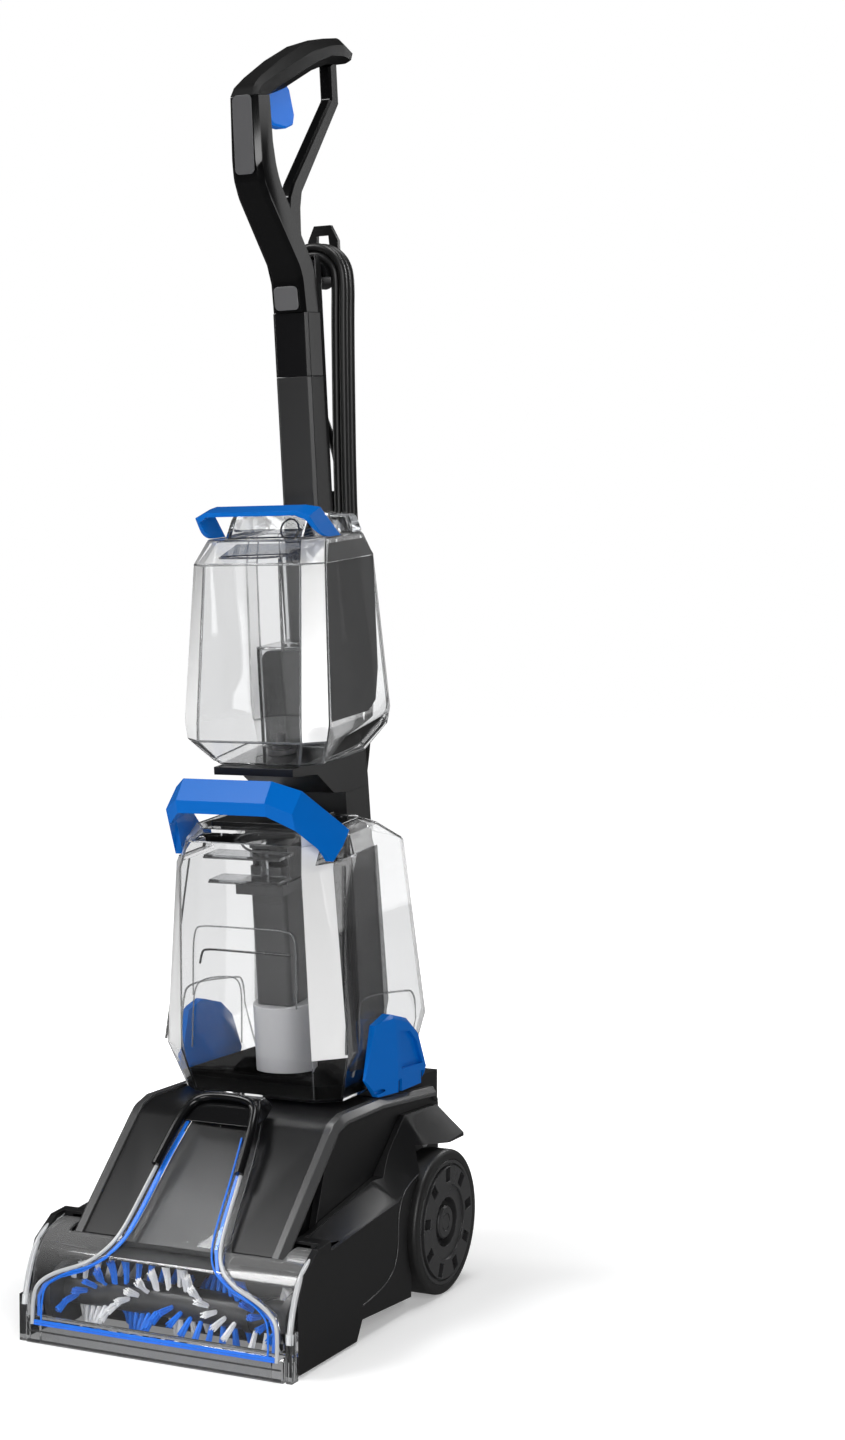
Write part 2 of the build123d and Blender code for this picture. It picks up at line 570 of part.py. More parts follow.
ARM = [
    ((4.0, 760.0), (33.5, 760.0), 17.0, 4.0),
    ((1.0, 795.0), (33.5, 797.0), 16.5, 4.0),
    ((-54.0, 862.0), (-22.0, 872.0), 15.5, 4.0),
    ((-59.0, 880.0), (-30.5, 898.0), 15.0, 4.0),
    ((-58.0, 943.0), (-30.0, 946.0), 14.0, 4.0),
]
GRIP = [
    ((-58.0, 943.4), (-30.0, 946.4), 14.0, 4.0),
    ((-52.0, 953.0), (-24.0, 947.6), 14.0, 5.0),
    ((-38.0, 961.5), (-16.0, 949.5), 14.5, 6.0),
    ((0.0, 980.0), (4.0, 955.5), 15.5, 7.0),
    ((43.0, 997.0), (56.0, 976.0), 15.5, 7.0),
    ((82.0, 1007.0), (88.0, 985.0), 15.0, 7.0),
    ((112.0, 1011.0), (111.0, 987.5), 14.5, 6.5),
    ((133.0, 1002.0), (125.0, 989.0), 13.0, 4.0),
]
STRUT = [
    ((97.0, 984.0), (112.0, 990.0), 6.0, 2.0),
    ((97.0, 955.0), (112.0, 951.0), 6.0, 2.0),
    ((17.0, 875.0), (32.0, 866.0), 6.0, 2.0),
    ((8.0, 862.0), (28.0, 852.0), 6.0, 2.0),
    ((4.0, 842.0), (27.0, 832.0), 6.0, 2.0),
    ((6.0, 824.0), (28.5, 798.0), 6.0, 2.0),
]


def handle():
    """The handle: its front arm, the grip, the rear strut and the trigger."""
    arm = bar(ARM)
    put("handle_arm", lean(arm))
    grip = bar(GRIP)
    strut = bar(STRUT) - grip - arm
    put("handle_strut", lean(strut.solids().sort_by(SortBy.VOLUME)[-1]))
    grip -= block(-TRIGGER_HALF - 0.6, TRIGGER_HALF + 0.6, -28, 30, 940, 966)
    put("handle_grip", lean(grip))
    trigger = side_prism([(-26, 950.0), (-24, 956.0), (12, 958.0), (18, 953), (24, 934), (21, 925),
        (8, 921), (-16, 922), (-25, 930)], -TRIGGER_HALF, TRIGGER_HALF)
    trigger = bevel(trigger, lambda p: abs(p.X) > TRIGGER_HALF - 0.1 and p.Z < 945 and p.Y > -24, 1.6)
    trigger -= rod_x(2.05, -20, 20, *TRIGGER_PIVOT)
    put("trigger", lean(trigger))
    put("pivot_pins", lean(rod_x(2.0, -TRIGGER_HALF - 0.5, TRIGGER_HALF + 0.5, *TRIGGER_PIVOT)))


TRIGGER_HALF = 6.5
TRIGGER_PIVOT = (-20.0, 951.0)


def cord_and_hooks():
    """Cord hooks, the cord wound on them, its lead out of the body and its plug."""
    def saddle(y0, w, side):
        """A half-round arm that the cord lies on, from y0 to the flange, open towards the hank's middle."""
        ring = rod_y(HANK_IN - 0.4, y0, FLANGE_V + 1, 0, w) - rod_y(HANK_IN - 4.6, y0 - 1, FLANGE_V + 2,
            0, w)
        keep = block(-30, 30, y0 - 2, FLANGE_V + 3, *sorted((w + side * 1.0, w + side * 40)))
        return ring & keep

    def flange(w, side):
        half, tip = 15.5, 49.0
        outline = [(-half, 4), (half, 4), (half, tip - 14), (half - 7, tip), (7 - half, tip),
            (-half, tip - 14)]
        plate = front_prism([(x, w + side * z) for x, z in outline], FLANGE_V, FLANGE_V + 5)
        return plate - front_prism([(x, w + side * z) for x, z in ((-7, 24), (7, 24), (6, 40), (-6, 40))],
            FLANGE_V - 1, FLANGE_V + 6)

    hub = rod_y(9, POLE_REAR + GAP, FLANGE_V + 2, 0, HOOK_W) + block(-3, 3, POLE_REAR + GAP, FLANGE_V + 2,
        HOOK_W, HOOK_W + HANK_IN - 1)
    put("cord_hook_upper", lean(saddle(POLE_REAR + GAP, HOOK_W, 1) + hub + flange(HOOK_W, 1)))
    root = block(-3, 3, 52.6, FLANGE_V + 2, LOW_HOOK_W - HANK_IN + 1, LOW_HOOK_W) + rod_y(9, 52.6,
        FLANGE_V + 2, 0, LOW_HOOK_W)
    put("cord_hook_lower", lean(saddle(52.6, LOW_HOOK_W, -1) + root + flange(LOW_HOOK_W, -1)))


FLANGE_V = 77.0


# ---------------------------------------------------------------- tanks, in the upright body's frame
CLEAN = [
    tank_section(364, 40, -92, 56, -76, 2, 16, 48),
    tank_section(387, 52.5, -109, 71, -95, 22, 32, 64),
    tank_section(402, 52.3, -108, 73.5, -94, 24, 35, 66),
    tank_section(541, 48.9, -87, 66.8, -74, 18, 28, 60),
    tank_section(562, 42, -70, 60, -58, 12, 22, 54),
]
DIRTY = [
    tank_section(60, 58, -130, 76, -114, 22, 34, 70),
    tank_section(115, 66, -145, 92.0, -126, 30, 44, 82),
    tank_section(278, 61.5, -137, 79.5, -112, 26, 40, 70),
    tank_section(300, 58, -128, 75, -100, -16, -4, 68),
    tank_section(310, 50, -114, 68, -92, -38, -28, 62),
]
TANK_FLOOR_Z = 187.4
DUCT_V = -72.0


def clean_notch(extra):
    """The room in the clean tank for the spine's box and the pole."""
    box = block(-SPINE_HALF - 1.2 - extra, SPINE_HALF + 1.2 + extra, BOX_FRONT - 1.2 - extra, 80, 300,
        SPINE_TOP + 1.5 + extra)
    box += block(-POLE_HALF - 1.4 - extra, POLE_HALF + 1.4 + extra, POLE_FRONT - 1.4 - extra, 80, 300, 700)
    return box


def clean_tank():
    """The upper tank: clear shell round the spine and pole, filler cap, outlet valve and carrying band."""
    shell = faceted(CLEAN) - clean_notch(0)
    shell -= faceted(CLEAN, CLEAR_WALL) - clean_notch(CLEAR_WALL)
    shell -= rod_z(9.2, 360, 370, 0, -50)
    shell -= block(-30, 30, -54, -2, 555, 570)
    put("clean_tank_shell", lean(shell))

    dome = side_prism([(-62, 562.3), (-44, 586), (5, 581), (34, 562.3)], -45, 45)
    dome = bevel(dome, lambda p: abs(p.X) > 44 and p.Z > 563, 8.0)
    dome -= side_prism([(-57, 562), (-42, 583.4), (4, 578.4), (29, 562)], -36, 36)
    dome -= block(-POLE_HALF - 1.4, POLE_HALF + 1.4, POLE_FRONT - 1.4, 60, 500, 640)
    put("filler_cap", lean(dome))

    put("outlet_valve", lean(rod_z(9, 364.4, 374, 0, -50) + rod_z(13, 366.8, 371, 0, -50) + rod_z(4, 374,
        386, 0, -50)))

    band_sections = [
        [(61.0, -64, 562.4), (61.0, -32, 562.4), (56.6, -32, 562.4), (56.6, -64, 562.4)],
        [(57.5, -82, 582.5), (56.0, -58, 589), (52.0, -58, 585), (53.5, -81, 578.5)],
        [(45, -85, 587), (45, -64, 591.5), (45, -64, 587.5), (45, -84, 583)],
    ]
    band = strip(band_sections) + strip([[(-x, y, z) for x, y, z in s] for s in band_sections])
    band += side_prism([(y, z) for _, y, z in band_sections[2]], -45, 45)
    put("clean_tank_handle", lean(band))


def dirty_notch(extra):
    side = LOW_SPINE_HALF + 1.4 + extra
    return block(-side, side, -5.4 - extra, 90, 0, 400)


def dirty_tank():
    """The lower tank: clear shell round the spine, lid, riser duct, separator plates and bail."""
    below = block(-200, 200, -300, 300, 0, TANK_FLOOR_Z)
    shell = lean(faceted(DIRTY) - dirty_notch(0) - arm_pocket(0)) - below
    cavity = faceted(DIRTY, CLEAR_WALL) - dirty_notch(CLEAR_WALL) - arm_pocket(CLEAR_WALL)
    cavity = lean(cavity) - block(-200, 200, -300, 300, 0, TANK_FLOOR_Z + CLEAR_WALL)
    shell -= cavity
    shell -= lean(block(-40, 40, -100, -44, 300, 330))
    for side in (1, -1):
        shell += lean(rod_x(4.0, *sorted((side * 66.8, side * 77.8)), *BAIL_PIVOT))
    put("dirty_tank_shell", shell)

    floor = lean(faceted(DIRTY, CLEAR_WALL + 0.3) - dirty_notch(CLEAR_WALL + 0.3)) & block(-200, 200,
        -300, 300, TANK_FLOOR_Z + CLEAR_WALL + 0.1, 203)
    floor -= lean(rod_z(28.5, 0, 200, 0, DUCT_V))
    put("dirty_tank_floor", floor)

    lid = block(-39.6, 39.6, -99.6, -44.4, 303.5, 315)
    lid += block(-45, 45, -106, -40, 310.3, 315)
    put("dirty_tank_lid", lean(fillet(lid.edges().filter_by(Axis.Z), 1.5)))
    duct = block(-18, 18, DUCT_V - 18, DUCT_V + 18, 145.4, 296)
    duct = fillet(duct.edges().filter_by(Axis.Z), 5.0) + block(-27, 21, DUCT_V - 27, DUCT_V + 16, 248, 258)
    duct -= block(-15, 15, DUCT_V - 15, DUCT_V + 15, 140, 290)
    duct -= block(-30, 30, DUCT_V - 30, DUCT_V - 10, 272, 288)
    put("riser_duct", lean(duct))
    collar = rod_z(27.5, 70, 145, 0, DUCT_V) - rod_z(24, 60, 141, 0, DUCT_V) - rod_z(15.5, 60, 150, 0,
        DUCT_V)
    put("riser_collar", lean(collar) - block(-200, 200, -300, 300, 0, TANK_FLOOR_Z + CLEAR_WALL + 0.4))
    plates = block(-48, 30, -116, DUCT_V - 18.4, 284, 286.4) + block(-44, 26, -116, DUCT_V - 18.4, 262,
        264.4)
    plates += block(-3, 3, DUCT_V - 24, DUCT_V - 18.4, 262, 286)
    put("separator", lean(plates))

    outer = [
        [(80, -79.5, 307), (81.5, -95.5, 296), (80, -112, 285), (72.5, -112, 285), (71.5, -95.5, 296),
            (72.5, -79.5, 307)],
        [(63, -131, 350), (63, -150.5, 333), (63, -146.5, 318), (63, -134, 320), (63, -130, 330),
            (63, -122, 341)],
        [(44, -149, 361), (44, -163.5, 344), (44, -162, 332.5), (44, -150, 332), (44, -146, 340),
            (44, -140, 352)],
    ]
    bail = strip(outer) + strip([[(-x, y, z) for x, y, z in s] for s in outer])
    bail += side_prism([(y, z) for _, y, z in outer[2]], -44, 44)
    for side in (1, -1):
        bail -= rod_x(4.05, *sorted((side * 69.0, side * 77.9)), *BAIL_PIVOT)
    put("bail_handle", lean(bail))


def arm_pocket(extra):
    """The room beside the tank's shoulders for the bail's arms."""
    pocket = block(68.4 - extra, 100, -124, -70 + extra, 283.4 - extra, 330)
    return pocket + mirror(pocket, about=Plane.YZ)


BAIL_PIVOT = (-94.0, 297.0)
LATCH_IN, LATCH_OUT = 93.4, 105.0
LATCH_PIN = (99.2, 191.6)


def side_latch():
    """One of the two tilting latches beside the dirty tank, with the pin it turns on."""
    outline = [(-86, 133), (-60, 137), (-29, 125.5), (-10, 109), (4, 72.5), (-8, 58), (-78, 58), (-104, 88)]
    plate = lean(side_prism(outline, LATCH_IN, LATCH_OUT))
    plate -= block(80, 120, -100, 200, 0, 186.7)
    plate = bevel(plate, lambda p: p.X > LATCH_OUT - 0.1 and p.Z > 188, 4.0)
    plate -= lean(side_prism([(-50, 119), (-30, 114), (-17, 101), (-7, 78), (-50, 84)], LATCH_OUT - 3.5,
        LATCH_OUT + 5))
    plate -= lean(flat_prism([(95.5, -130), (115, -130), (115, -57), (105.1, -57), (95.5, -106)], 40, 160))
    for y0, y1 in LUGS:
        plate -= block(80, 120, y0 - GAP, y1 + GAP, 180, 198)
    plate -= rod_y(2.05, 0, 180, *LATCH_PIN)
    both("side_latch", plate)
    pair("pivot_pins", rod_y(2.0, LUGS[0][0], LUGS[1][1], *LATCH_PIN))


LUGS = ((58.0, 64.0), (104.0, 110.0))


def latch_lugs():
    """The brackets on the yoke that carry the latch pins."""
    lugs = []
    for side in (1, -1):
        for y0, y1 in LUGS:
            lug = block(*sorted((side * 84.0, side * 102.6)), y0, y1, 186.9, 195.6)
            lug -= rod_y(2.0, y0 - 1, y1 + 1, side * LATCH_PIN[0], LATCH_PIN[1])
            lug += block(*sorted((side * 84.0, side * 89.6)), y0, y1, 184.0, 190.0)
            lugs.append(lug)
    return lugs


# ---------------------------------------------------------------- cord
def tube_path(points):
    """Straight runs joined by tangent arcs; prints each corner's radius."""
    radii = []
    for a, b, c in zip(points, points[1:], points[2:]):
        ab, bc = Vector(*b) - Vector(*a), Vector(*c) - Vector(*b)
        turn = math.radians(ab.get_angle(bc))
        radii.append(0.45 * min(ab.length, bc.length) / math.tan(turn / 2))
    print("bend radii", [round(r, 1) for r in radii])
    return FilletPolyline(*points, radius=min(min(radii), 60.0))


def in_frame(v_points):
    """Body-frame points carried to the machine's frame."""
    a = math.radians(LEAN)
    return [(x, PIVOT_Y + v * math.cos(a) - w * math.sin(a),
        PIVOT_Z + v * math.sin(a) + w * math.cos(a)) for x, v, w in v_points]


HANK_V = 65.0
HANK_IN = 18.6  # half the hank's opening between its two runs
HANK_LAYERS, HANK_ROWS = 2, 3
LEAD = [(0, 69, 244), (0, 90, 265), (5, 90, 312), (20, 79, 362), (30, 69, 410)]


def cord():
    """The cord's hank round the hooks, its lead out of the spine and the plug at its end."""
    outer = HANK_IN + HANK_LAYERS * CORD_D
    low, high = LOW_HOOK_W, HOOK_W
    depth = HANK_ROWS * CORD_D
    ring = (block(-outer, outer, HANK_V - depth / 2, HANK_V + depth / 2, low, high)
            + rod_y(outer, HANK_V - depth / 2, HANK_V + depth / 2, 0, low) + rod_y(outer,
                HANK_V - depth / 2, HANK_V + depth / 2, 0, high))
    ring -= (block(-HANK_IN, HANK_IN, 0, 200, low, high) + rod_y(HANK_IN, 0, 200, 0, low) + rod_y(HANK_IN,
        0, 200, 0, high))
    put("cord_hank", lean(ring))
    path = tube_path(in_frame(LEAD))
    lead = sweep(Plane(path @ 0, z_dir=path % 0) * Circle(CORD_D / 2), path=path)
    put("cord_lead", lead)
    relief = Pos(0, 64.2, 239.2) * Rot(-45, 0, 0) * Cone(8.5, 5.4, 26,
        align=(Align.CENTER, Align.CENTER, Align.MIN))
    relief -= Pos(0, 64.2, 239.2) * Rot(-45, 0, 0) * Cylinder(CORD_D / 2 + 0.3, 80)
    relief -= side_prism([(0, 200), (68.5, 200), (66.2, 250), (65.7, 270), (0, 270)], -20, 20)
    put("strain_relief", lean(relief))
    plug = block(-12, 12, 60, 76, 560, 596)
    plug = chamfer(plug.edges().filter_by(Axis.Z), 3.0)
    plug += block(-6.4, -4.8, 65, 71, 544, 560) + block(4.8, 6.4, 65, 71, 544, 560)
    put("plug", Pos(0, 0, 0) * lean(Pos(0, 19, 0) * plug))


def write_nodes():
    low = [1e9] * 3
    high = [-1e9] * 3
    for name, solids in sorted(NODES.items()):
        solids = [s for shape in solids for s in shape.solids()]
        solids = [Pos(0, FRAME_SHIFT_Y, 0) * s for s in solids]
        whole = solids[0] if len(solids) == 1 else Compound(children=solids)
        export_step(whole, "parts/" + name + ".step")
        box = whole.bounding_box()
        if not name.startswith(("cord_hank", "cord_lead", "plug")):
            low = [min(a, b) for a, b in zip(low, (box.min.X, box.min.Y, box.min.Z))]
            high = [max(a, b) for a, b in zip(high, (box.max.X, box.max.Y, box.max.Z))]
        print("%-20s %2d solids  x %.1f..%.1f  y %.1f..%.1f  z %.1f..%.1f" % (
            name, len(solids), box.min.X, box.max.X, box.min.Y, box.max.Y, box.min.Z, box.max.Z))
    print("all", [round(v, 1) for v in low], [round(v, 1) for v in high], "middle y",
        round((low[1] + high[1]) / 2, 2))


foot_shell()
pair("side_panels", side_panel())
wheel()
nozzle()
brush()
foot_inside()
yoke()
spine()
pole()
power_switch()
handle()
cord_and_hooks()
clean_tank()
dirty_tank()
side_latch()
cord()
write_nodes()
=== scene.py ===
"""Looks of the upright carpet cleaner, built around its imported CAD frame.

Metres, +Z up, -Y the front of the nozzle. Outlines are in millimetres and pass through at() or row().
"""

import math
import random

import bmesh
import bpy
from mathutils import Matrix, Vector


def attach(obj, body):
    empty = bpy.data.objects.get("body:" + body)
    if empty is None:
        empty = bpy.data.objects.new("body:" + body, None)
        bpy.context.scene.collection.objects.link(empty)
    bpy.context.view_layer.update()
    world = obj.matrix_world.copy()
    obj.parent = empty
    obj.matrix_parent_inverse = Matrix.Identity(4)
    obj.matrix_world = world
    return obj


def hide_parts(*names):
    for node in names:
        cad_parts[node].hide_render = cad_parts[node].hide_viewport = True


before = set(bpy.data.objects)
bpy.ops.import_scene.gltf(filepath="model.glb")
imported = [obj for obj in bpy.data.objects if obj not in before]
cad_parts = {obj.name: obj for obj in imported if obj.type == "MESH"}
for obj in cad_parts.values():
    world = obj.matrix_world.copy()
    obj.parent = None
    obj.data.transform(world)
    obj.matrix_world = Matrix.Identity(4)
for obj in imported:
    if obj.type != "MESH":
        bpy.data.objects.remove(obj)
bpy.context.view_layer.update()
MM = 0.001
SIDES = ((1, "right"), (-1, "left"))

# ---------------------------------------------------------------- camera
CAMERA_AT = (1.004, -1.7558, 0.610)
CAMERA_AZIMUTH, CAMERA_DIP = math.radians(25.72), math.radians(2.54)
CAMERA_LENS, SENSOR = 57.1, 36
FAR_CLIP = 50


def make_camera():
    camera = bpy.data.objects.new("camera", bpy.data.cameras.new("camera"))
    camera.location = CAMERA_AT
    camera.rotation_euler = (math.pi / 2 - CAMERA_DIP, 0, CAMERA_AZIMUTH)
    camera.data.lens = CAMERA_LENS
    camera.data.sensor_width = SENSOR
    camera.data.clip_end = FAR_CLIP
    bpy.context.collection.objects.link(camera)
    bpy.context.scene.camera = camera


make_camera()

# ---------------------------------------------------------------- shader helpers


class Nodes:
    """Short calls for making a node tree."""

    def __init__(self, tree):
        self.tree = tree

    def new(self, kind, links=(), **values):
        node = self.tree.nodes.new("ShaderNode" + kind)
        for key, value in values.items():
            if key in ("operation", "data_type", "node_tree"):
                setattr(node, key, value)
            else:
                node.inputs[key.replace("_", " ")].default_value = value
        for socket, source in links:
            self.link(source, node.inputs[socket])
        return node

    def link(self, source, target):
        self.tree.links.new(source, target)

    def math(self, operation, a, b=0.0):
        node = self.tree.nodes.new("ShaderNodeMath")
        node.operation = operation
        for socket, value in zip(node.inputs, (a, b)):
            if isinstance(value, (int, float)):
                socket.default_value = value
            else:
                self.link(value, socket)
        return node.outputs[0]


def surface_group():
    """Shared moulded-plastic detail from object coordinates: a fine grain and faint flow marks."""
    group = bpy.data.node_groups.new("MouldedSurface", "ShaderNodeTree")
    face = group.interface
    for name, kind, value in (("Grain", "NodeSocketFloat", 900.0), ("Strength", "NodeSocketFloat", 0.1),
                              ("Roughness", "NodeSocketFloat", 0.3), ("Spread", "NodeSocketFloat", 0.06)):
        socket = face.new_socket(name=name, in_out="INPUT", socket_type=kind)
        socket.default_value = value
    face.new_socket(name="Normal", in_out="OUTPUT", socket_type="NodeSocketVector")
    face.new_socket(name="Roughness", in_out="OUTPUT", socket_type="NodeSocketFloat")
    face.new_socket(name="Shade", in_out="OUTPUT", socket_type="NodeSocketFloat")
    n = Nodes(group)
    given = group.nodes.new("NodeGroupInput")
    out = group.nodes.new("NodeGroupOutput")
    place = n.new("TexCoord").outputs["Object"]
    grain = n.new("TexNoise", [("Vector", place), ("Scale", given.outputs["Grain"])], Detail=3.0)
    bump = n.new("Bump", [("Height", grain.outputs[0]), ("Strength", given.outputs["Strength"])],
                 Distance=0.0004)
    flow = n.new("TexNoise", [("Vector", place)], Scale=9.0, Detail=4.0)
    swing = n.math("SUBTRACT", flow.outputs[0], 0.5)
    rough = n.math("ADD", given.outputs["Roughness"], n.math("MULTIPLY", swing, given.outputs["Spread"]))
    n.link(bump.outputs[0], out.inputs["Normal"])
    n.link(rough, out.inputs["Roughness"])
    n.link(flow.outputs[0], out.inputs["Shade"])
    return group


SURFACE = surface_group()
MIX_FACTOR, MIX_A, MIX_B, MIX_COLOUR = 0, 6, 7, 2  # sockets of a Mix node set to colour


def principled(name):
    material = bpy.data.materials.new(name)
    material.use_nodes = True
    return material, Nodes(material.node_tree), material.node_tree.nodes["Principled BSDF"]


def plastic(name, colour, rough, grain=900.0, strength=0.08, spread=0.08, vary=0.12, specular=0.5):
    """Moulded plastic or rubber: colour varied a little, grain and uneven gloss."""
    material, n, shader = principled(name)
    detail = n.new("Group", node_tree=SURFACE, Grain=grain, Strength=strength, Roughness=rough,
                   Spread=spread)
    dark = [c * (1 - vary) for c in colour] + [1]
    light = [min(1, c * (1 + vary)) for c in colour] + [1]
    mix = n.new("Mix", [(MIX_FACTOR, detail.outputs["Shade"])], data_type="RGBA")
    mix.inputs[MIX_A].default_value, mix.inputs[MIX_B].default_value = dark, light
    n.link(mix.outputs[MIX_COLOUR], shader.inputs["Base Color"])
    n.link(detail.outputs["Roughness"], shader.inputs["Roughness"])
    n.link(detail.outputs["Normal"], shader.inputs["Normal"])
    shader.inputs["Specular IOR Level"].default_value = specular
    return material


CLEAR_IOR = 1.46
CLEAR_ROUGH = 0.02
LIGHT_THROUGH = 0.85  # the share of light that passes to what a clear moulding holds


def clear(name, tint):
    """Clear moulding: refracting walls that let the light through to what they hold."""
    material, n, shader = principled(name)
    place = n.new("TexCoord").outputs["Object"]
    flow = n.new("TexNoise", [("Vector", place)], Scale=11.0, Detail=2.0)
    bump = n.new("Bump", [("Height", flow.outputs[0])], Strength=0.05, Distance=0.004)
    mix = n.new("Mix", [(MIX_FACTOR, flow.outputs[0])], data_type="RGBA")
    mix.inputs[MIX_A].default_value = [c * 0.97 for c in tint] + [1]
    mix.inputs[MIX_B].default_value = list(tint) + [1]
    lit = n.new("LightPath").outputs["Is Shadow Ray"]
    n.link(n.math("SUBTRACT", 1.0, n.math("MULTIPLY", lit, LIGHT_THROUGH)), shader.inputs["Alpha"])
    n.link(mix.outputs[MIX_COLOUR], shader.inputs["Base Color"])
    n.link(bump.outputs[0], shader.inputs["Normal"])
    shader.inputs["Roughness"].default_value = CLEAR_ROUGH
    shader.inputs["Transmission Weight"].default_value = 1.0
    shader.inputs["IOR"].default_value = CLEAR_IOR
    return material


def clear_line(name, colour, alpha, rough=0.08, specular=0.5, vary=1.0):
    """A dark translucent layer, a little uneven: painted shade for the dark line that a clear moulding shows
    along an edge or a raised rib, and for dark panes.
    """
    material, n, shader = principled(name)
    flow = n.new("TexNoise", [("Vector", n.new("TexCoord").outputs["Object"])], Scale=30.0, Detail=2.0)
    wander = n.math("MULTIPLY", n.math("SUBTRACT", flow.outputs[0], 0.5), vary)
    n.link(n.math("MULTIPLY", n.math("ADD", wander, 1.0), alpha), shader.inputs["Alpha"])
    shader.inputs["Base Color"].default_value = list(colour) + [1]
    shader.inputs["Roughness"].default_value = rough
    shader.inputs["Specular IOR Level"].default_value = specular
    return material


def tinted_overlay(name, low, high, thin_alpha, dense_alpha, tone=0.865):
    """A tinted layer over facets of a clear moulding, thin at the high level and dense at the low one
    (metres): whitish painted highlight on the tanks' corner facets, a grey layer on the nozzle top.
    """
    material, n, shader = principled(name)
    parts = n.new("SeparateXYZ", [(0, n.new("TexCoord").outputs["Object"])])
    ramp = n.new("MapRange", [("Value", parts.outputs["Z"])], From_Min=high, From_Max=low,
                 To_Min=thin_alpha, To_Max=dense_alpha)
    flow = n.new("TexNoise", [("Vector", n.new("TexCoord").outputs["Object"])], Scale=6.0, Detail=2.0)
    wander = n.math("MULTIPLY", n.math("SUBTRACT", flow.outputs[0], 0.5), 0.25)
    n.link(n.math("ADD", ramp.outputs[0], wander), shader.inputs["Alpha"])
    shader.inputs["Base Color"].default_value = (tone, tone, tone, 1)
    shader.inputs["Roughness"].default_value = 0.12
    return material


MAT = {
    "black_gloss": plastic("BlackGloss", (0.003, 0.003, 0.0035), 0.2, strength=0.02, specular=0.4),
    "black_satin": plastic("BlackSatin", (0.006, 0.006, 0.0065), 0.32, grain=1400, strength=0.08,
                           specular=0.4),
    "black_tough": plastic("BlackStructural", (0.008, 0.008, 0.0085), 0.45, grain=700, strength=0.2,
                           specular=0.35),
    "pole": plastic("PoleSatin", (0.011, 0.011, 0.0115), 0.36, grain=1600, strength=0.05),
    "grip": plastic("SoftGrip", (0.0022, 0.0022, 0.0022), 0.5, grain=2200, strength=0.2, specular=0.12),
    # partly painted highlight: the rails' own grey, raised to carry the glints along their edges; the side
    # grooves share it
    "trim": plastic("TrimGreyAndSheen", (0.055, 0.055, 0.056), 0.26, grain=1500, strength=0.05, specular=0.8),
    # painted highlight: a lighter satin grey for the glints on the front of the handle arm
    "highlight_panel": plastic("PaintedHighlightSatin", (0.085, 0.085, 0.088), 0.28, grain=1500, strength=0.04, specular=0.6),
    "arm": plastic("ArmGloss", (0.002, 0.002, 0.0022), 0.14, strength=0.02, specular=0.3),
    "blue": plastic("BlueGloss", (0.001, 0.128, 0.51), 0.26, strength=0.03, vary=0.05, specular=0.1),
    # painted light: a brighter copy of the blue, making up for the shade the trigger sits in under the handle
    "blue_brightened": plastic("BlueBrightened", (0.001, 0.20, 0.88), 0.3, strength=0.03, vary=0.05,
                            specular=0.14),
    "tank_base": plastic("TankBase", (0.003, 0.003, 0.003), 0.6, strength=0.02, specular=0.0),
    "seal": plastic("BlueSeal", (0.002, 0.17, 0.80), 0.4, strength=0.1, vary=0.06),
    "duct": plastic("DuctGrey", (0.018, 0.018, 0.019), 0.38),
    "collar": plastic("CollarGrey", (0.34, 0.34, 0.35), 0.4),
    "tyre": plastic("TyreRubber", (0.013, 0.013, 0.013), 0.42, grain=1200, strength=0.25),
    "rim": plastic("WheelPlastic", (0.03, 0.03, 0.031), 0.28, grain=1200, strength=0.06, specular=0.7),
    "bristle_white": plastic("BristleWhite", (0.96, 0.96, 0.95), 0.45),
    "bristle_blue": plastic("BristleBlue", (0.005, 0.20, 0.85), 0.4),
    "steel": plastic("Steel", (0.55, 0.55, 0.56), 0.3),
    "motor": plastic("MotorPaint", (0.03, 0.03, 0.032), 0.35),
    "cord": plastic("CordJacket", (0.007, 0.007, 0.007), 0.42, grain=1800, strength=0.12),
    "clear": clear("ClearTank", (0.92, 0.923, 0.927)),
    "clear_nozzle": clear("ClearNozzle", (0.84, 0.845, 0.85)),
    "smoke": clear("ClearSmoke", (0.42, 0.43, 0.44)),
    # painted highlight: an opaque light grey standing in for the lit edges of clear mouldings
    "highlight_bead": plastic("PaintedHighlightBead", (0.50, 0.51, 0.52), 0.12, strength=0.02, specular=0.8),
    # painted shade: dark panes on the tank walls where the dark parts behind show through
    "pane": clear_line("PaintedShadePane", (0.055, 0.055, 0.056), 0.86, rough=0.3, specular=0.12, vary=0.1),
    "shade": clear_line("SideShade", (0.04, 0.04, 0.041), 0.52, rough=0.3, specular=0.12, vary=0.1),
    # painted highlight: whitish layers on the tanks' corner facets, denser lower down
    "facet_highlight_clean": tinted_overlay("PaintedHighlightClean", 0.53, 0.69, 0.30, 0.95),
    "facet_highlight_dirty": tinted_overlay("PaintedHighlightDirty", 0.20, 0.42, 0.80, 0.95),
    "nozzle_top_grey": tinted_overlay("NozzleTopGrey", 0.096, 0.05, 0.06, 0.62, tone=0.24),
    # painted shade: dark lines on the edges and ribs of clear mouldings, for the dark edges that refraction
    # gives them
    "clear_edge": clear_line("ClearEdge", (0.16, 0.165, 0.17), 0.55),
    "clear_rib": clear_line("ClearRib", (0.05, 0.05, 0.052), 0.75),
}

# ---------------------------------------------------------------- mesh helpers
LEAN = math.radians(6.0)
PIVOT_Y, PIVOT_Z = 126.2, 128.0


def at(x, v, w):
    """A point of the upright body's own frame, in millimetres, as a row-frame point."""
    y = PIVOT_Y + v * math.cos(LEAN) - w * math.sin(LEAN)
    z = PIVOT_Z + v * math.sin(LEAN) + w * math.cos(LEAN)
    return Vector((x, y, z)) * MM


def row(x, y, z):
    """A row-frame point given in millimetres."""
    return Vector((x, y, z)) * MM


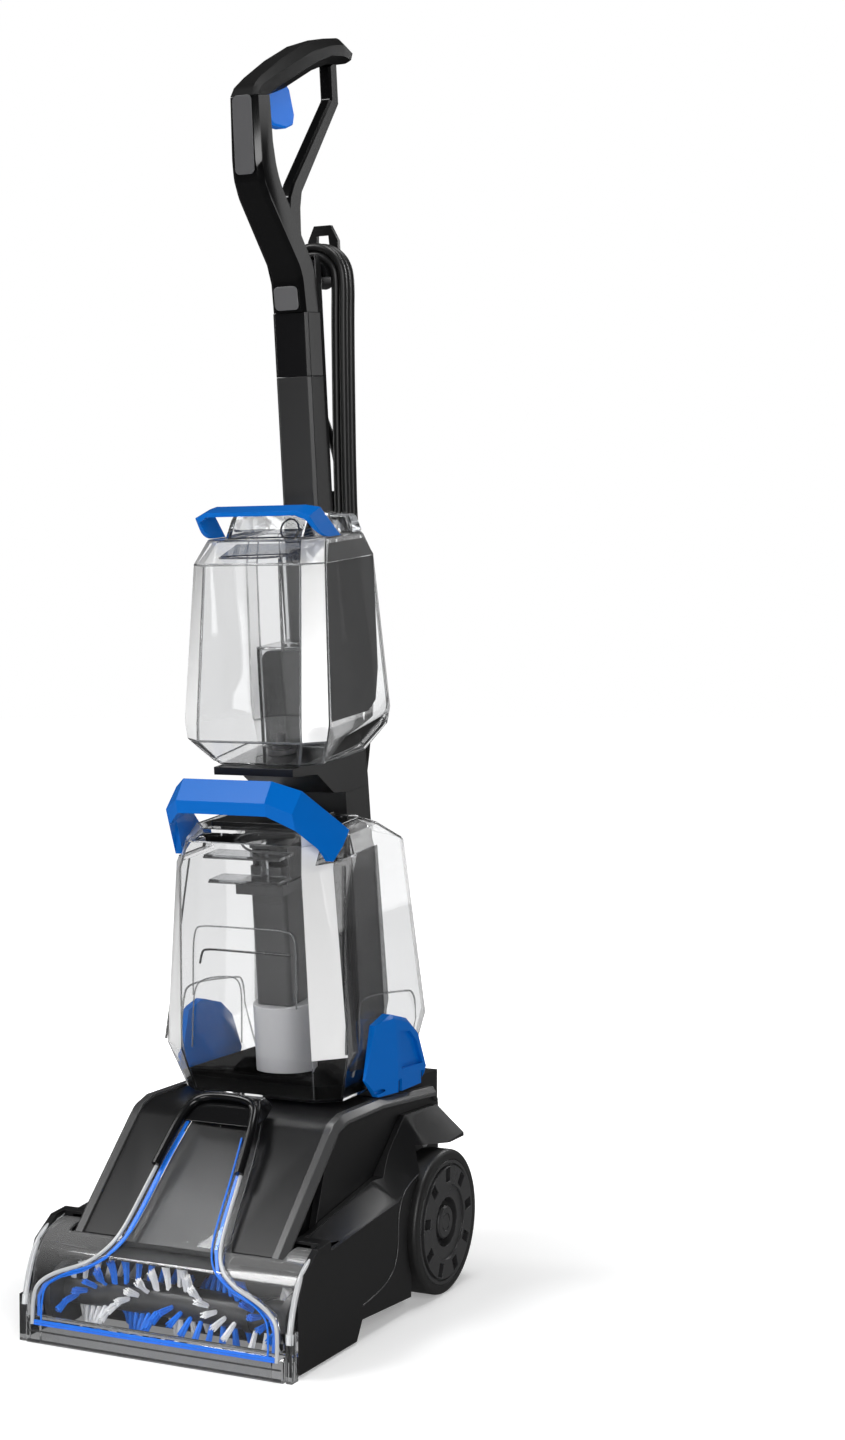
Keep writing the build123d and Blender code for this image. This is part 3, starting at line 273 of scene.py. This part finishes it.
def add_object(name, mesh, material, body, replaces=()):
    obj = bpy.data.objects.new(name, mesh)
    bpy.context.collection.objects.link(obj)
    mesh.materials.clear()
    mesh.materials.append(MAT[material])
    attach(obj, body)
    if replaces:
        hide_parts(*replaces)
    return obj


SHARP_ANGLE = 28  # degrees: a steeper edge than this is rounded, or stays sharp where nothing is rounded
FLAT_ANGLE = 1.0  # degrees: faces closer to each other than this become one


def soften(obj, width, segments=3, angle=SHARP_ANGLE):
    """Rounds the sharp edges and shades smooth."""
    if width:
        bevel = obj.modifiers.new("edges", "BEVEL")
        bevel.width = width * MM
        bevel.segments = segments
        bevel.limit_method = "ANGLE"
        bevel.angle_limit = math.radians(angle)
        bevel.harden_normals = True
        bevel.miter_outer = "MITER_ARC"
    for face in obj.data.polygons:
        face.use_smooth = True
    if not width:
        obj.data.set_sharp_from_angle(angle=math.radians(angle))
    return obj


BEND_LOW, BEND_HIGH = 8, 60  # degrees between the two faces at a bar's bend
SMALLEST_FACE = 4e-5  # square metres
EDGE_SLOT, OVERLAY_SLOT = 1, 2  # material slots of a clear piece, after its own


def round_bends(bm, offset):
    """Rounds the bends of a bar: its edges across the machine whose two faces turn a little."""
    bends = []
    for edge in bm.edges:
        if len(edge.link_faces) != 2:
            continue
        along = (edge.verts[1].co - edge.verts[0].co).normalized()
        turn = math.degrees(edge.calc_face_angle(0))
        area = min(face.calc_area() for face in edge.link_faces)
        across = abs(along.x) > 0.9 or edge.calc_length() < 0.02 and abs(along.x) > 0.25
        if BEND_LOW < turn < BEND_HIGH and area > SMALLEST_FACE and across:
            bends.append(edge)
    bmesh.ops.bevel(bm, geom=bends, offset=offset * MM, segments=5, profile=0.5, affect="EDGES",
                    material=-1, clamp_overlap=True)


def refined(node, material, body, width, segments=3, bends=0):
    """The CAD node's own shape, joined into flat faces and rounded along its edges."""
    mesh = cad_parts[node].data.copy()
    bm = bmesh.new()
    bm.from_mesh(mesh)
    bmesh.ops.remove_doubles(bm, verts=bm.verts, dist=0.00002)
    bmesh.ops.dissolve_limit(bm, angle_limit=math.radians(FLAT_ANGLE), verts=bm.verts, edges=bm.edges)
    if bends:
        round_bends(bm, bends)
    bm.to_mesh(mesh)
    bm.free()
    if "custom_normal" in mesh.attributes:
        mesh.attributes.remove(mesh.attributes["custom_normal"])
    obj = add_object(node + "_look", mesh, material, body, replaces=[node])
    soften(obj, width, segments)
    # clear pieces get the painted dark edge lines on their rounded edges
    if material.startswith("clear") and width:
        mesh.materials.append(MAT["clear_edge"])
        obj.modifiers["edges"].material = EDGE_SLOT
    return obj


def paint_facet_highlight(obj, material):
    """Paints highlight on a tank's outer corner facets: a whitish layer on the facets that face forward and
    to the side.
    """
    obj.data.materials.append(MAT[material])
    for face in obj.data.polygons:
        if 0.25 < abs(face.normal.x) < 0.85 and face.normal.y < -0.3 and face.normal.z > -0.2:
            face.material_index = OVERLAY_SLOT


def grey_top_layer(obj):
    """Lays a grey layer on the nozzle cover's curved top faces, denser higher up."""
    obj.data.materials.append(MAT["nozzle_top_grey"])
    for face in obj.data.polygons:
        if abs(face.normal.x) < 0.5 and face.normal.z > 0.12 and face.normal.y < 0.5:
            face.material_index = OVERLAY_SLOT


def slab(name, outline, thickness, material, body, edge=1.0, corner=0.0):
    """A flat plate: its outline (row-frame points, metres) pushed along its own normal by thickness (mm)."""
    bm = bmesh.new()
    face = bm.faces.new([bm.verts.new(p) for p in outline])
    bm.normal_update()
    push = face.normal * thickness * MM
    grown = bmesh.ops.extrude_face_region(bm, geom=[face])
    bmesh.ops.translate(bm, vec=push, verts=[v for v in grown["geom"] if isinstance(v, bmesh.types.BMVert)])
    bmesh.ops.recalc_face_normals(bm, faces=bm.faces)
    if corner:
        along = push.normalized()
        posts = [e for e in bm.edges if abs((e.verts[1].co - e.verts[0].co).normalized().dot(along)) > 0.98]
        bmesh.ops.bevel(bm, geom=posts, offset=corner * MM, segments=6, profile=0.5, affect="EDGES",
                        material=-1)
    mesh = bpy.data.meshes.new(name)
    bm.to_mesh(mesh)
    bm.free()
    return soften(add_object(name, mesh, material, body), edge)


# ---------------------------------------------------------------- cord
CORD_D = 7.6
HANK_LOW, HANK_HIGH = 432.0, 791.0
LAYERS = (30.0, 22.4)
ROWS = ((72.6, 65.0, 57.4), (57.4, 65.0, 72.6))
WAIST, NECK = 12.0, 3.5  # how far the strands close in low down, and just under the upper hook
WAIST_UP, NECK_DOWN, TURN_UP = 90, 46, 4
ARC_STEP = 30  # degrees between the points round a hook
LEAD = [(0, 69, 244), (0, 90, 265), (5, 90, 312), (20, 79, 362)]
TAIL = [(-22.4, 72.6, 745), (-20, 76, 700), (-4, 87, 640), (0, 87, 612), (0, 87, 596)]


def cord_points():
    """The lead, then the turns round both hooks, then the tail to the plug."""
    rng = random.Random(4)
    points = list(LEAD)
    for radius, rows in zip(LAYERS, ROWS):
        for lap, v in enumerate(rows):
            loose = rng.uniform(-0.5, 0.6)
            r = radius + loose
            waist, neck = HANK_LOW + WAIST_UP, HANK_HIGH - NECK_DOWN
            points += [(r, v, HANK_LOW + TURN_UP), (r - WAIST, v, waist), (r - NECK, v, neck)]
            for turn in map(math.radians, range(0, 181, ARC_STEP)):
                points.append((r * math.cos(turn), v, HANK_HIGH + r * math.sin(turn)))
            if radius == LAYERS[-1] and lap == 2:
                continue
            points += [(NECK - r, v, neck), (WAIST - r, v, waist)]
            following = rows[lap + 1] if lap < 2 else v
            for turn in map(math.radians, range(180, 331, ARC_STEP)):
                across = v + (following - v) * (turn / math.pi - 1)
                points.append((r * math.cos(turn), across, HANK_LOW + r * math.sin(turn)))
    return points + TAIL


def curve_tube(name, points, diameter, material, body, replaces=()):
    data = bpy.data.curves.new(name, "CURVE")
    data.dimensions = "3D"
    data.bevel_depth = diameter / 2 * MM
    data.bevel_resolution = 5
    data.resolution_u = 5
    spline = data.splines.new("NURBS")
    spline.points.add(len(points) - 1)
    for target, point in zip(spline.points, points):
        target.co = (*point, 1)
    spline.order_u = 3
    spline.use_endpoint_u = True
    data.use_fill_caps = True
    obj = bpy.data.objects.new(name, data)
    bpy.context.collection.objects.link(obj)
    data.materials.append(MAT[material])
    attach(obj, body)
    if replaces:
        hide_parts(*replaces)
    return obj


cord = curve_tube("power_cord", [at(*p) for p in cord_points()], CORD_D, "cord", "upright",
                  ["cord_hank", "cord_lead"])
plug = refined("plug", "cord", "upright", 1.2)
relief = refined("strain_relief", "cord", "upright", 0.6)

# ---------------------------------------------------------------- foot
for node, material, width in (
    ("foot_cover", "black_satin", 1.0), ("cheeks", "black_satin", 1.0), ("edge_rails", "trim", 1.2),
    ("side_panels", "black_satin", 2.0), ("base_pan", "black_tough", 0.8), ("brush_chamber", "duct", 0.4),
    ("suction_motor", "motor", 0), ("brush_motor", "motor", 0), ("pump", "motor", 0),
    ("spray_bar", "black_tough", 0), ("base_screws", "steel", 0), ("foot_pins", "steel", 0),
    ("drive_belt", "tyre", 0),
):
    refined(node, material, "foot", width)
refined("motor_pulley", "steel", "motor_pulley", 0)

# ---------------------------------------------------------------- nozzle
grey_top_layer(refined("nozzle_cover", "clear_nozzle", "nozzle", 0.6))
refined("channel_window", "clear_nozzle", "nozzle", 0.6)
refined("channel_seal", "seal", "nozzle", 0.2)
refined("suction_lip", "clear_nozzle", "nozzle", 0.5)
refined("nozzle_grip", "black_gloss", "nozzle", 2.0)

# ---------------------------------------------------------------- brush
refined("brush_core", "duct", "brush", 0)


BRUSH_Y, BRUSH_Z = -138.3, 37.0
CORE_R, TIP_R = 13.0, 34.0
TUFTS, TUFT_SPAN = 25, 204
BELT_GAP = (64, 76)
WIND = math.radians(200)  # how far a row winds from the middle to either end
HAIRS, TUFT_R, TUFT_FAN = 13, 1.5, 2.1
HAIR_ROOT_R, HAIR_TIP_R = 0.75, 0.55
HAIR_TURN = 2.4  # radians from one hair to the next round the tuft


def tuft(bm, x, angle, rng):
    """A spread bunch of tapered bristles standing on the core."""
    for k in range(HAIRS):
        spread = TUFT_R * math.sqrt(k / (HAIRS - 1))
        turn = HAIR_TURN * k
        foot_x, foot_t = spread * math.cos(turn), spread * math.sin(turn)
        reach = TIP_R - rng.uniform(0, 1.6)
        fan = TUFT_FAN + rng.uniform(-0.2, 0.3)
        base = Vector((foot_x, foot_t, CORE_R))
        tip = Vector((foot_x * fan, foot_t * fan, reach))
        up = (tip - base).normalized()
        hair = bmesh.ops.create_cone(bm, segments=5, radius1=HAIR_ROOT_R, radius2=HAIR_TIP_R,
                                     depth=(tip - base).length, cap_ends=True)
        spin = Matrix.Translation((base + tip) / 2) @ up.to_track_quat("Z", "Y").to_matrix().to_4x4()
        place = Matrix.Translation((x, BRUSH_Y, BRUSH_Z)) @ Matrix.Rotation(angle, 4, "X") @ spin
        bmesh.ops.transform(bm, matrix=Matrix.Scale(MM, 4) @ place, verts=hair["verts"])


def bristles(name, quarters, material, seed):
    """Rows of tufts that wind in from both ends of the core towards its middle."""
    rng = random.Random(seed)
    bm = bmesh.new()
    for quarter in quarters:
        for i in range(TUFTS):
            share = i / (TUFTS - 1)
            x = (share - 0.5) * TUFT_SPAN
            if BELT_GAP[0] < x < BELT_GAP[1]:
                continue
            angle = quarter * math.pi / 2 + WIND * abs(share - 0.5) * 2
            tuft(bm, x, angle, rng)
    mesh = bpy.data.meshes.new(name)
    bm.to_mesh(mesh)
    bm.free()
    soften(add_object(name, mesh, material, "brush", ["bristles_" + name.split("_")[1]]), 0, angle=60)


bristles("tufts_white", (0, 2), "bristle_white", 3)
bristles("tufts_blue", (1, 3), "bristle_blue", 5)

# ---------------------------------------------------------------- wheels
for side in ("right", "left"):
    body = "wheel_" + side
    refined("tyre_" + side, "tyre", body, 0.8)
    refined("rim_" + side, "rim", body, 0.7)
    refined("hub_cap_" + side, "rim", body, 0.5)

# ---------------------------------------------------------------- upright body
for node, material, width in (
    ("yoke", "black_tough", 1.5), ("spine_front", "black_satin", 1.5), ("spine_back", "black_satin", 2.0),
    ("pole_front", "pole", 1.2), ("pole_back", "pole", 1.5), ("pole_collar", "black_gloss", 1.2),
    ("cord_hook_lower", "black_satin", 0.8), ("pivot_pins", "steel", 0),
):
    refined(node, material, "upright", width)
refined("handle_arm", "arm", "upright", 2.6, bends=16)
refined("handle_grip", "grip", "upright", 4.0, segments=4, bends=16)
refined("handle_strut", "arm", "upright", 1.4, bends=10)
refined("cord_hook_upper", "black_satin", "hook_swivel", 0.8)
refined("power_switch", "black_gloss", "power_switch", 0.8)
# painted light: the trigger takes the brightened copy of the blue
refined("trigger", "blue_brightened", "trigger", 1.5)

# ---------------------------------------------------------------- clean tank
# painted highlight on the clean tank's corner facets
paint_facet_highlight(refined("clean_tank_shell", "clear", "clean_tank", 1.0), "facet_highlight_clean")
refined("outlet_valve", "duct", "clean_tank", 0)
refined("clean_tank_handle", "blue", "clean_tank", 1.2, bends=12)
refined("filler_cap", "clear", "filler_cap", 1.0)

# ---------------------------------------------------------------- dirty tank
paint_facet_highlight(refined("dirty_tank_shell", "clear", "dirty_tank", 1.0), "facet_highlight_dirty")
refined("dirty_tank_floor", "tank_base", "dirty_tank", 1.0)
refined("dirty_tank_lid", "black_gloss", "dirty_tank", 1.0)
refined("riser_duct", "duct", "dirty_tank", 1.0)
refined("riser_collar", "collar", "dirty_tank", 1.0)
refined("separator", "smoke", "dirty_tank", 0.3)
refined("bail_handle", "blue", "dirty_tank", 2.5)
for side in ("right", "left"):
    refined("side_latch_" + side, "blue", "side_latch_" + side, 0.9)


# ---------------------------------------------------------------- details of the handle
def handle_highlight_panels():
    """Painted highlight: lighter satin panels let into the front of the arm in place of the softboxes'
    glints, one long below the grip and one short above the seam.
    """
    upper = [at(-9.5, -59.3, 877), at(9.5, -59.3, 877), at(9.5, -58.2, 944), at(-9.5, -58.2, 944)]
    slab("highlight_panel_upper", upper, 1.0, "highlight_panel", "upright", 0.4, 4.5)
    seam = [at(-12, 3.2, 762), at(12, 3.2, 762), at(12, 1.4, 783), at(-12, 1.4, 783)]
    slab("highlight_panel_seam", seam, 1.0, "highlight_panel", "upright", 0.5, 4)


handle_highlight_panels()


# ---------------------------------------------------------------- details of the clean tank
def thin(name, points, diameter, material, body):
    """A rib or small pipe along a few points of the upright body's frame."""
    return curve_tube(name, [at(*p) for p in points], diameter, material, body)


def ring(name, centre, axis, radius, wire, material, body):
    """A round bead of the given wire radius, its axis along a body-frame direction."""
    bm = bmesh.new()
    bmesh.ops.create_circle(bm, segments=8, radius=wire * MM)
    turned = Matrix.Translation((radius * MM, 0, 0)) @ Matrix.Rotation(math.pi / 2, 4, "X")
    bmesh.ops.transform(bm, matrix=turned, verts=bm.verts)
    bmesh.ops.spin(bm, geom=bm.verts[:] + bm.edges[:], cent=(0, 0, 0), axis=(0, 0, 1), angle=math.tau,
                   steps=40, use_merge=True)
    bmesh.ops.remove_doubles(bm, verts=bm.verts, dist=1e-5)
    bmesh.ops.recalc_face_normals(bm, faces=bm.faces)
    aim = (at(*(c + a for c, a in zip(centre, axis))) - at(*centre)).normalized()
    place = Matrix.Translation(at(*centre)) @ aim.to_track_quat("Z", "Y").to_matrix().to_4x4()
    bmesh.ops.transform(bm, matrix=place, verts=bm.verts)
    mesh = bpy.data.meshes.new(name)
    bm.to_mesh(mesh)
    bm.free()
    return soften(add_object(name, mesh, material, body), 0, angle=60)


def clean_wall_x(w):
    """Just outside the clean tank's side wall at a height."""
    return 73.9 - (w - 402) * 0.0482 - max(0.0, w - 541) * 0.276


def clean_tank_details():
    """Neck pane and ribs, the pipe to the valve, the dark side pane of painted shade where the black column
    shows through the wall, and the rings and lobes by the cap.
    """
    neck = [at(-46, -60, 546.5), at(30, -60, 548), at(30, -40, 556), at(-40, -40, 556)]
    slab("tank_neck_pane", neck, 1.2, "smoke", "clean_tank", 0.3)
    thin("neck_rib", [(-47, -61, 546), (-20, -61, 545.5), (12, -61, 546), (30, -61, 548)], 2.0,
         "clear_rib", "clean_tank")
    thin("dip_tube", [(13.5, -60, 545), (12.5, -60, 500), (12, -60, 462)], 2.6, "clear_rib", "clean_tank")
    # painted shade: a dark pane on the right wall for the black column seen through it
    low_pane = [(-72, 540.8), (-81, 474), (-90, 404), (-20, 404), (-4, 412), (6, 440), (17, 540.8)]
    slab("painted_shade_side", [at(clean_wall_x(w), v, w) for v, w in low_pane], -0.6, "pane", "clean_tank", 0.2)
    high_pane = [(-71, 541.2), (17, 541.2), (9, 557), (-58, 557)]
    slab("painted_shade_side_top", [at(clean_wall_x(w), v, w) for v, w in high_pane], 0.6, "pane", "clean_tank", 0.2)
    ring("port_ring", (27, -62.5, 570), (0, -1, 0.3), 9.0, 1.0, "clear_rib", "filler_cap")
    ring("valve_ring", (30, -60, 545), (0, -1, 0.2), 6.5, 1.4, "clear_rib", "clean_tank")
    ring("valve_core", (30, -60, 545), (0, -1, 0.2), 3.0, 1.0, "clear_rib", "clean_tank")
    for side, word in SIDES:
        lobe = [at(side * x, -16, w) for x, w in ((33, 563), (64, 563), (58, 579), (37, 581))]
        slab("cap_lobe_" + word, lobe[::side], -22, "smoke", "filler_cap", 3.0)


clean_tank_details()


# ---------------------------------------------------------------- details of the dirty tank
def front_v(w):
    """Where the dirty tank's front wall stands at a height, a hair proud of it."""
    return -145.4 + (w - 115) * 8 / 163


def side_x(w):
    """The dirty tank's half width at a height."""
    return 92.4 - max(0.0, w - 115) * 0.0767 - max(0.0, 115 - w) * 0.29


def dirty_tank_details():
    """Raised frame, step and arch on the front, latch notches, the dark side strip of painted shade and the
    insert's ribs.
    """
    frame_line = [(-51, 165), (-50, 205), (-47, 224), (-42, 228), (0, 228), (44, 228), (53, 224),
                  (54, 205), (53, 160)]
    thin("front_frame_rib", [(x, front_v(w), w) for x, w in frame_line], 1.5, "clear_edge", "dirty_tank")
    step = [(-43, 194), (-41, 204), (-37, 207.5), (0, 207), (48, 206.5)]
    thin("front_step_rib", [(x, front_v(w), w) for x, w in step], 2.0, "clear_rib", "dirty_tank")
    arch = [(-54, 118), (-52, 150), (-49, 174), (-38, 181), (-20, 184), (-7, 184), (-1.5, 176), (-2, 150),
            (-3, 126)]
    thin("front_arch_rib", [(x, front_v(w), w) for x, w in arch], 1.4, "clear_edge", "dirty_tank")
    for side, word in SIDES:
        notch = [(-108, 92), (-103, 120), (-98, 152), (-90, 158), (-60, 155), (-5, 144), (6, 141),
                 (11, 130), (10, 100), (9, 68)]
        points = [(side * (side_x(w) + 0.4), v, w) for v, w in notch]
        thin("latch_notch_rib_" + word, points, 1.8, "clear_edge", "dirty_tank")
    # painted shade: a dark strip on the right side wall where the spine behind shows dark through it
    shade = [(-60, 88), (-42, 146), (-29, 284), (-68, 284), (-99, 240), (-106, 162), (-118, 100)]
    slab("tank_side_shade", [at(side_x(w) + 0.5, v, w) for v, w in shade], 0.7, "shade", "dirty_tank", 0.2)
    for side, word in SIDES:
        # painted shade: a dark line along the corner between the chamfer and the side wall
        seam = [(-89.5, 277), (-99, 240), (-108, 197), (-119, 150), (-127, 118)]
        points = [(side * (side_x(w) - 0.4), v - 1.5, w) for v, w in seam]
        thin("tank_corner_line_" + word, points, 2.2, "clear_rib", "dirty_tank")
    thin("separator_rib_top", [(-48, -116.6, 284), (30, -116.6, 284)], 1.8, "clear_rib", "dirty_tank")
    thin("separator_rib_low", [(-44, -116.6, 262), (26, -116.6, 262)], 1.8, "clear_rib", "dirty_tank")
    bracket = [(-12, -112, 301), (-11, -112, 294), (4, -114, 290), (34, -114, 290), (38, -113, 284),
               (34, -112, 262)]
    thin("bracket_rib", bracket, 2.2, "clear_rib", "dirty_tank")


dirty_tank_details()


# ---------------------------------------------------------------- details of the nozzle
FUNNEL = [(118, 16), (118.5, 40), (113, 52), (96, 62), (74, 69), (58, 79), (49, 92), (45.5, 110),
          (41, 148), (37, 168)]
CHANNEL_FRONT = [(16, -184.3), (40, -182.8), (60, -180.3), (76, -172.3), (92, -156.3), (184, -70.3),
                 (193, -58.3)]
COVER_ARC = [(-124.5, 94.5), (-142, 90.5), (-159.5, 82.5), (-170, 67), (-176, 52), (-179.5, 38),
             (-180.5, 30)]


def channel_y(z):
    """Where the channel window's face stands at a height."""
    for (z0, y0), (z1, y1) in zip(CHANNEL_FRONT, CHANNEL_FRONT[1:]):
        if z <= z1:
            return y0 + (y1 - y0) * (z - z0) / (z1 - z0)
    return CHANNEL_FRONT[-1][1]


def nozzle_details():
    """Blue gasket band, lip lines, light beads of painted highlight along the window and cover edges, and the
    ring you lift the nozzle by.
    """
    band = [row(-117, -184.5, 15.5), row(117, -184.5, 15.5), row(116, -184.5, 20), row(-116, -184.5, 20)]
    slab("seal_lower_band", band, 0.7, "seal", "nozzle", 0.2)
    for name, low, high in (("lip_blade", 1.0, 3.2), ("lip_groove", 9.5, 11)):
        strip = [row(-122, -184.8, low), row(122, -184.8, low), row(122, -184.8, high),
                 row(-122, -184.8, high)]
        slab(name, strip, 0.45, "clear_rib", "nozzle", 0.1)
    for side, word in SIDES:
        edge = [row(side * x, channel_y(z) - 0.6, z) for x, z in FUNNEL]
        curve_tube("window_highlight_bead_" + word, edge, 3.4, "highlight_bead", "nozzle")
        inner = [row(side * (x - 8.5), channel_y(z) - 0.3, z) for x, z in FUNNEL]
        curve_tube("gasket_line_" + word, inner, 1.6, "seal", "nozzle")
        # the cover's rim, drawn as a bead of painted highlight
        rim = [row(side * 127.6, y - 1.0, z + 0.8) for y, z in COVER_ARC]
        curve_tube("cover_highlight_bead_" + word, rim, 5.0, "highlight_bead", "nozzle")
    ring_path = [(41, 143), (38.5, 162), (36, 178), (31, 190), (20, 194.5), (0, 195.5)]
    path = [row(x, channel_y(z) - 3.5, z + 1) for x, z in ring_path]
    path += [Vector((-p.x, p.y, p.z)) for p in reversed(path[:-1])]
    curve_tube("lift_ring", path, 8.0, "black_gloss", "nozzle")


nozzle_details()


def side_grooves():
    """The fine parting line on each outer side panel."""
    for side, word in SIDES:
        line = [(47, 118), (20, 112), (8, 92), (8, 60), (-2, 42), (-30, 33), (-60, 30)]
        curve_tube("side_groove_" + word, [row(side * 131.1, y, z) for y, z in line], 1.2, "trim", "foot")


side_grooves()


BACK_Y, BACK_HALF, BACK_LOW, BACK_HIGH = 123, 91.5, 13, 147
BACK_RIBS, RIB_PITCH, RIB_HALF, RIB_LOW = 7, 9, 58, 52


def foot_back():
    """The plain closing panel between the wheels, with its row of cooling ribs."""
    corners = ((-BACK_HALF, BACK_LOW), (BACK_HALF, BACK_LOW), (BACK_HALF, BACK_HIGH),
               (-BACK_HALF, BACK_HIGH))
    slab("foot_back_panel", [row(x, BACK_Y, z) for x, z in corners], -3, "black_satin", "foot", 0.8)
    for i in range(BACK_RIBS):
        z = RIB_LOW + RIB_PITCH * i
        corners = ((-RIB_HALF, z), (RIB_HALF, z), (RIB_HALF, z + 4), (-RIB_HALF, z + 4))
        slab("foot_back_rib_" + str(i), [row(x, BACK_Y + 3, y) for x, y in corners], -2.2, "black_satin",
             "foot", 0.6)


foot_back()

# ---------------------------------------------------------------- stage and light


FLOOR_R, GLOW_FROM, GLOW_TO = 12.0, 0.22, 0.9


def grey(value):
    return (value, value, value, 1)


def make_floor():
    """A white floor that brightens into the backdrop away from the machine: a painted glow to the eye and
    through clear plastic, dim near the machine, and dark in glossy reflections.
    """
    bm = bmesh.new()
    bmesh.ops.create_circle(bm, cap_ends=True, segments=64, radius=FLOOR_R)
    mesh = bpy.data.meshes.new("floor")
    bm.to_mesh(mesh)
    bm.free()
    obj = bpy.data.objects.new("floor", mesh)
    bpy.context.collection.objects.link(obj)
    material, n, shader = principled("Floor")
    reach = n.new("VectorMath", [(0, n.new("TexCoord").outputs["Object"])], operation="LENGTH")
    ramp = n.new("MapRange", [("Value", reach.outputs["Value"])], From_Min=GLOW_FROM, From_Max=GLOW_TO)
    glow = n.new("Mix", [(MIX_FACTOR, ramp.outputs[0])], data_type="RGBA")
    glow.inputs[MIX_A].default_value, glow.inputs[MIX_B].default_value = grey(0.25), grey(1)
    path = n.new("LightPath")
    seen = n.math("MAXIMUM", path.outputs["Is Camera Ray"], path.outputs["Is Transmission Ray"])
    shown = n.new("Mix", [(MIX_FACTOR, seen), (MIX_B, glow.outputs[MIX_COLOUR])], data_type="RGBA")
    shown.inputs[MIX_A].default_value = grey(0.05)
    n.link(shown.outputs[MIX_COLOUR], shader.inputs["Emission Color"])
    shader.inputs["Emission Strength"].default_value = 1.0
    shade = n.new("Mix", [(MIX_FACTOR, path.outputs["Is Glossy Ray"])], data_type="RGBA")
    shade.inputs[MIX_A].default_value, shade.inputs[MIX_B].default_value = grey(0.88), grey(0.15)
    n.link(shade.outputs[MIX_COLOUR], shader.inputs["Base Color"])
    shader.inputs["Roughness"].default_value = 0.9
    shader.inputs["Specular IOR Level"].default_value = 0.0
    mesh.materials.append(material)


def area_light(name, place, aim, width, height, watts):
    light = bpy.data.objects.new(name, bpy.data.lights.new(name, "AREA"))
    light.data.shape = "RECTANGLE"
    light.data.size, light.data.size_y = width, height
    light.data.energy = watts
    light.location = place
    light.rotation_euler = (Vector(aim) - Vector(place)).to_track_quat("-Z", "Y").to_euler()
    bpy.context.collection.objects.link(light)


WORLD_DIM = 0.05
SOFTBOXES = (  # name, place, what it points at, width and height (metres), watts
    ("key", (-1.3, -1.5, 2.6), (0, 0, 0.5), 0.8, 0.8, 34),
    ("right", (1.58, -1.62, 1.0), (0, 0, 0.6), 0.45, 1.7, 26),
    ("top", (0.3, 0.1, 2.6), (0, 0, 0.4), 1.0, 1.0, 22),
    ("left", (-2.0, -0.2, 0.9), (0, 0, 0.5), 0.4, 2.0, 14),
    ("rear", (0.2, 2.4, 1.6), (0, 0, 0.6), 1.2, 0.6, 12),
    ("rear_right", (1.15, 1.9, 1.1), (0, 0, 0.6), 0.4, 2.0, 3),
    ("front_low", (-0.4, -2.1, 0.3), (0, -0.1, 0.1), 0.5, 0.4, 9),
)


def make_light():
    """White backdrop to the eye and through clear plastic, a dim room to the rest, and seven softboxes."""
    world = bpy.data.worlds.new("studio")
    bpy.context.scene.world = world
    world.use_nodes = True
    tree = world.node_tree
    n = Nodes(tree)
    path = tree.nodes.new("ShaderNodeLightPath")
    seen = n.math("MAXIMUM", path.outputs["Is Camera Ray"], path.outputs["Is Transmission Ray"])
    mix = n.new("Mix", [(MIX_FACTOR, seen)], data_type="RGBA")
    mix.inputs[MIX_A].default_value = grey(WORLD_DIM)
    mix.inputs[MIX_B].default_value = grey(1)
    n.link(mix.outputs[MIX_COLOUR], tree.nodes["Background"].inputs[0])
    for softbox in SOFTBOXES:
        area_light(*softbox)


make_floor()
make_light()
bpy.context.scene.view_settings.view_transform = "Standard"
bpy.context.scene.cycles.transparent_max_bounces = 24
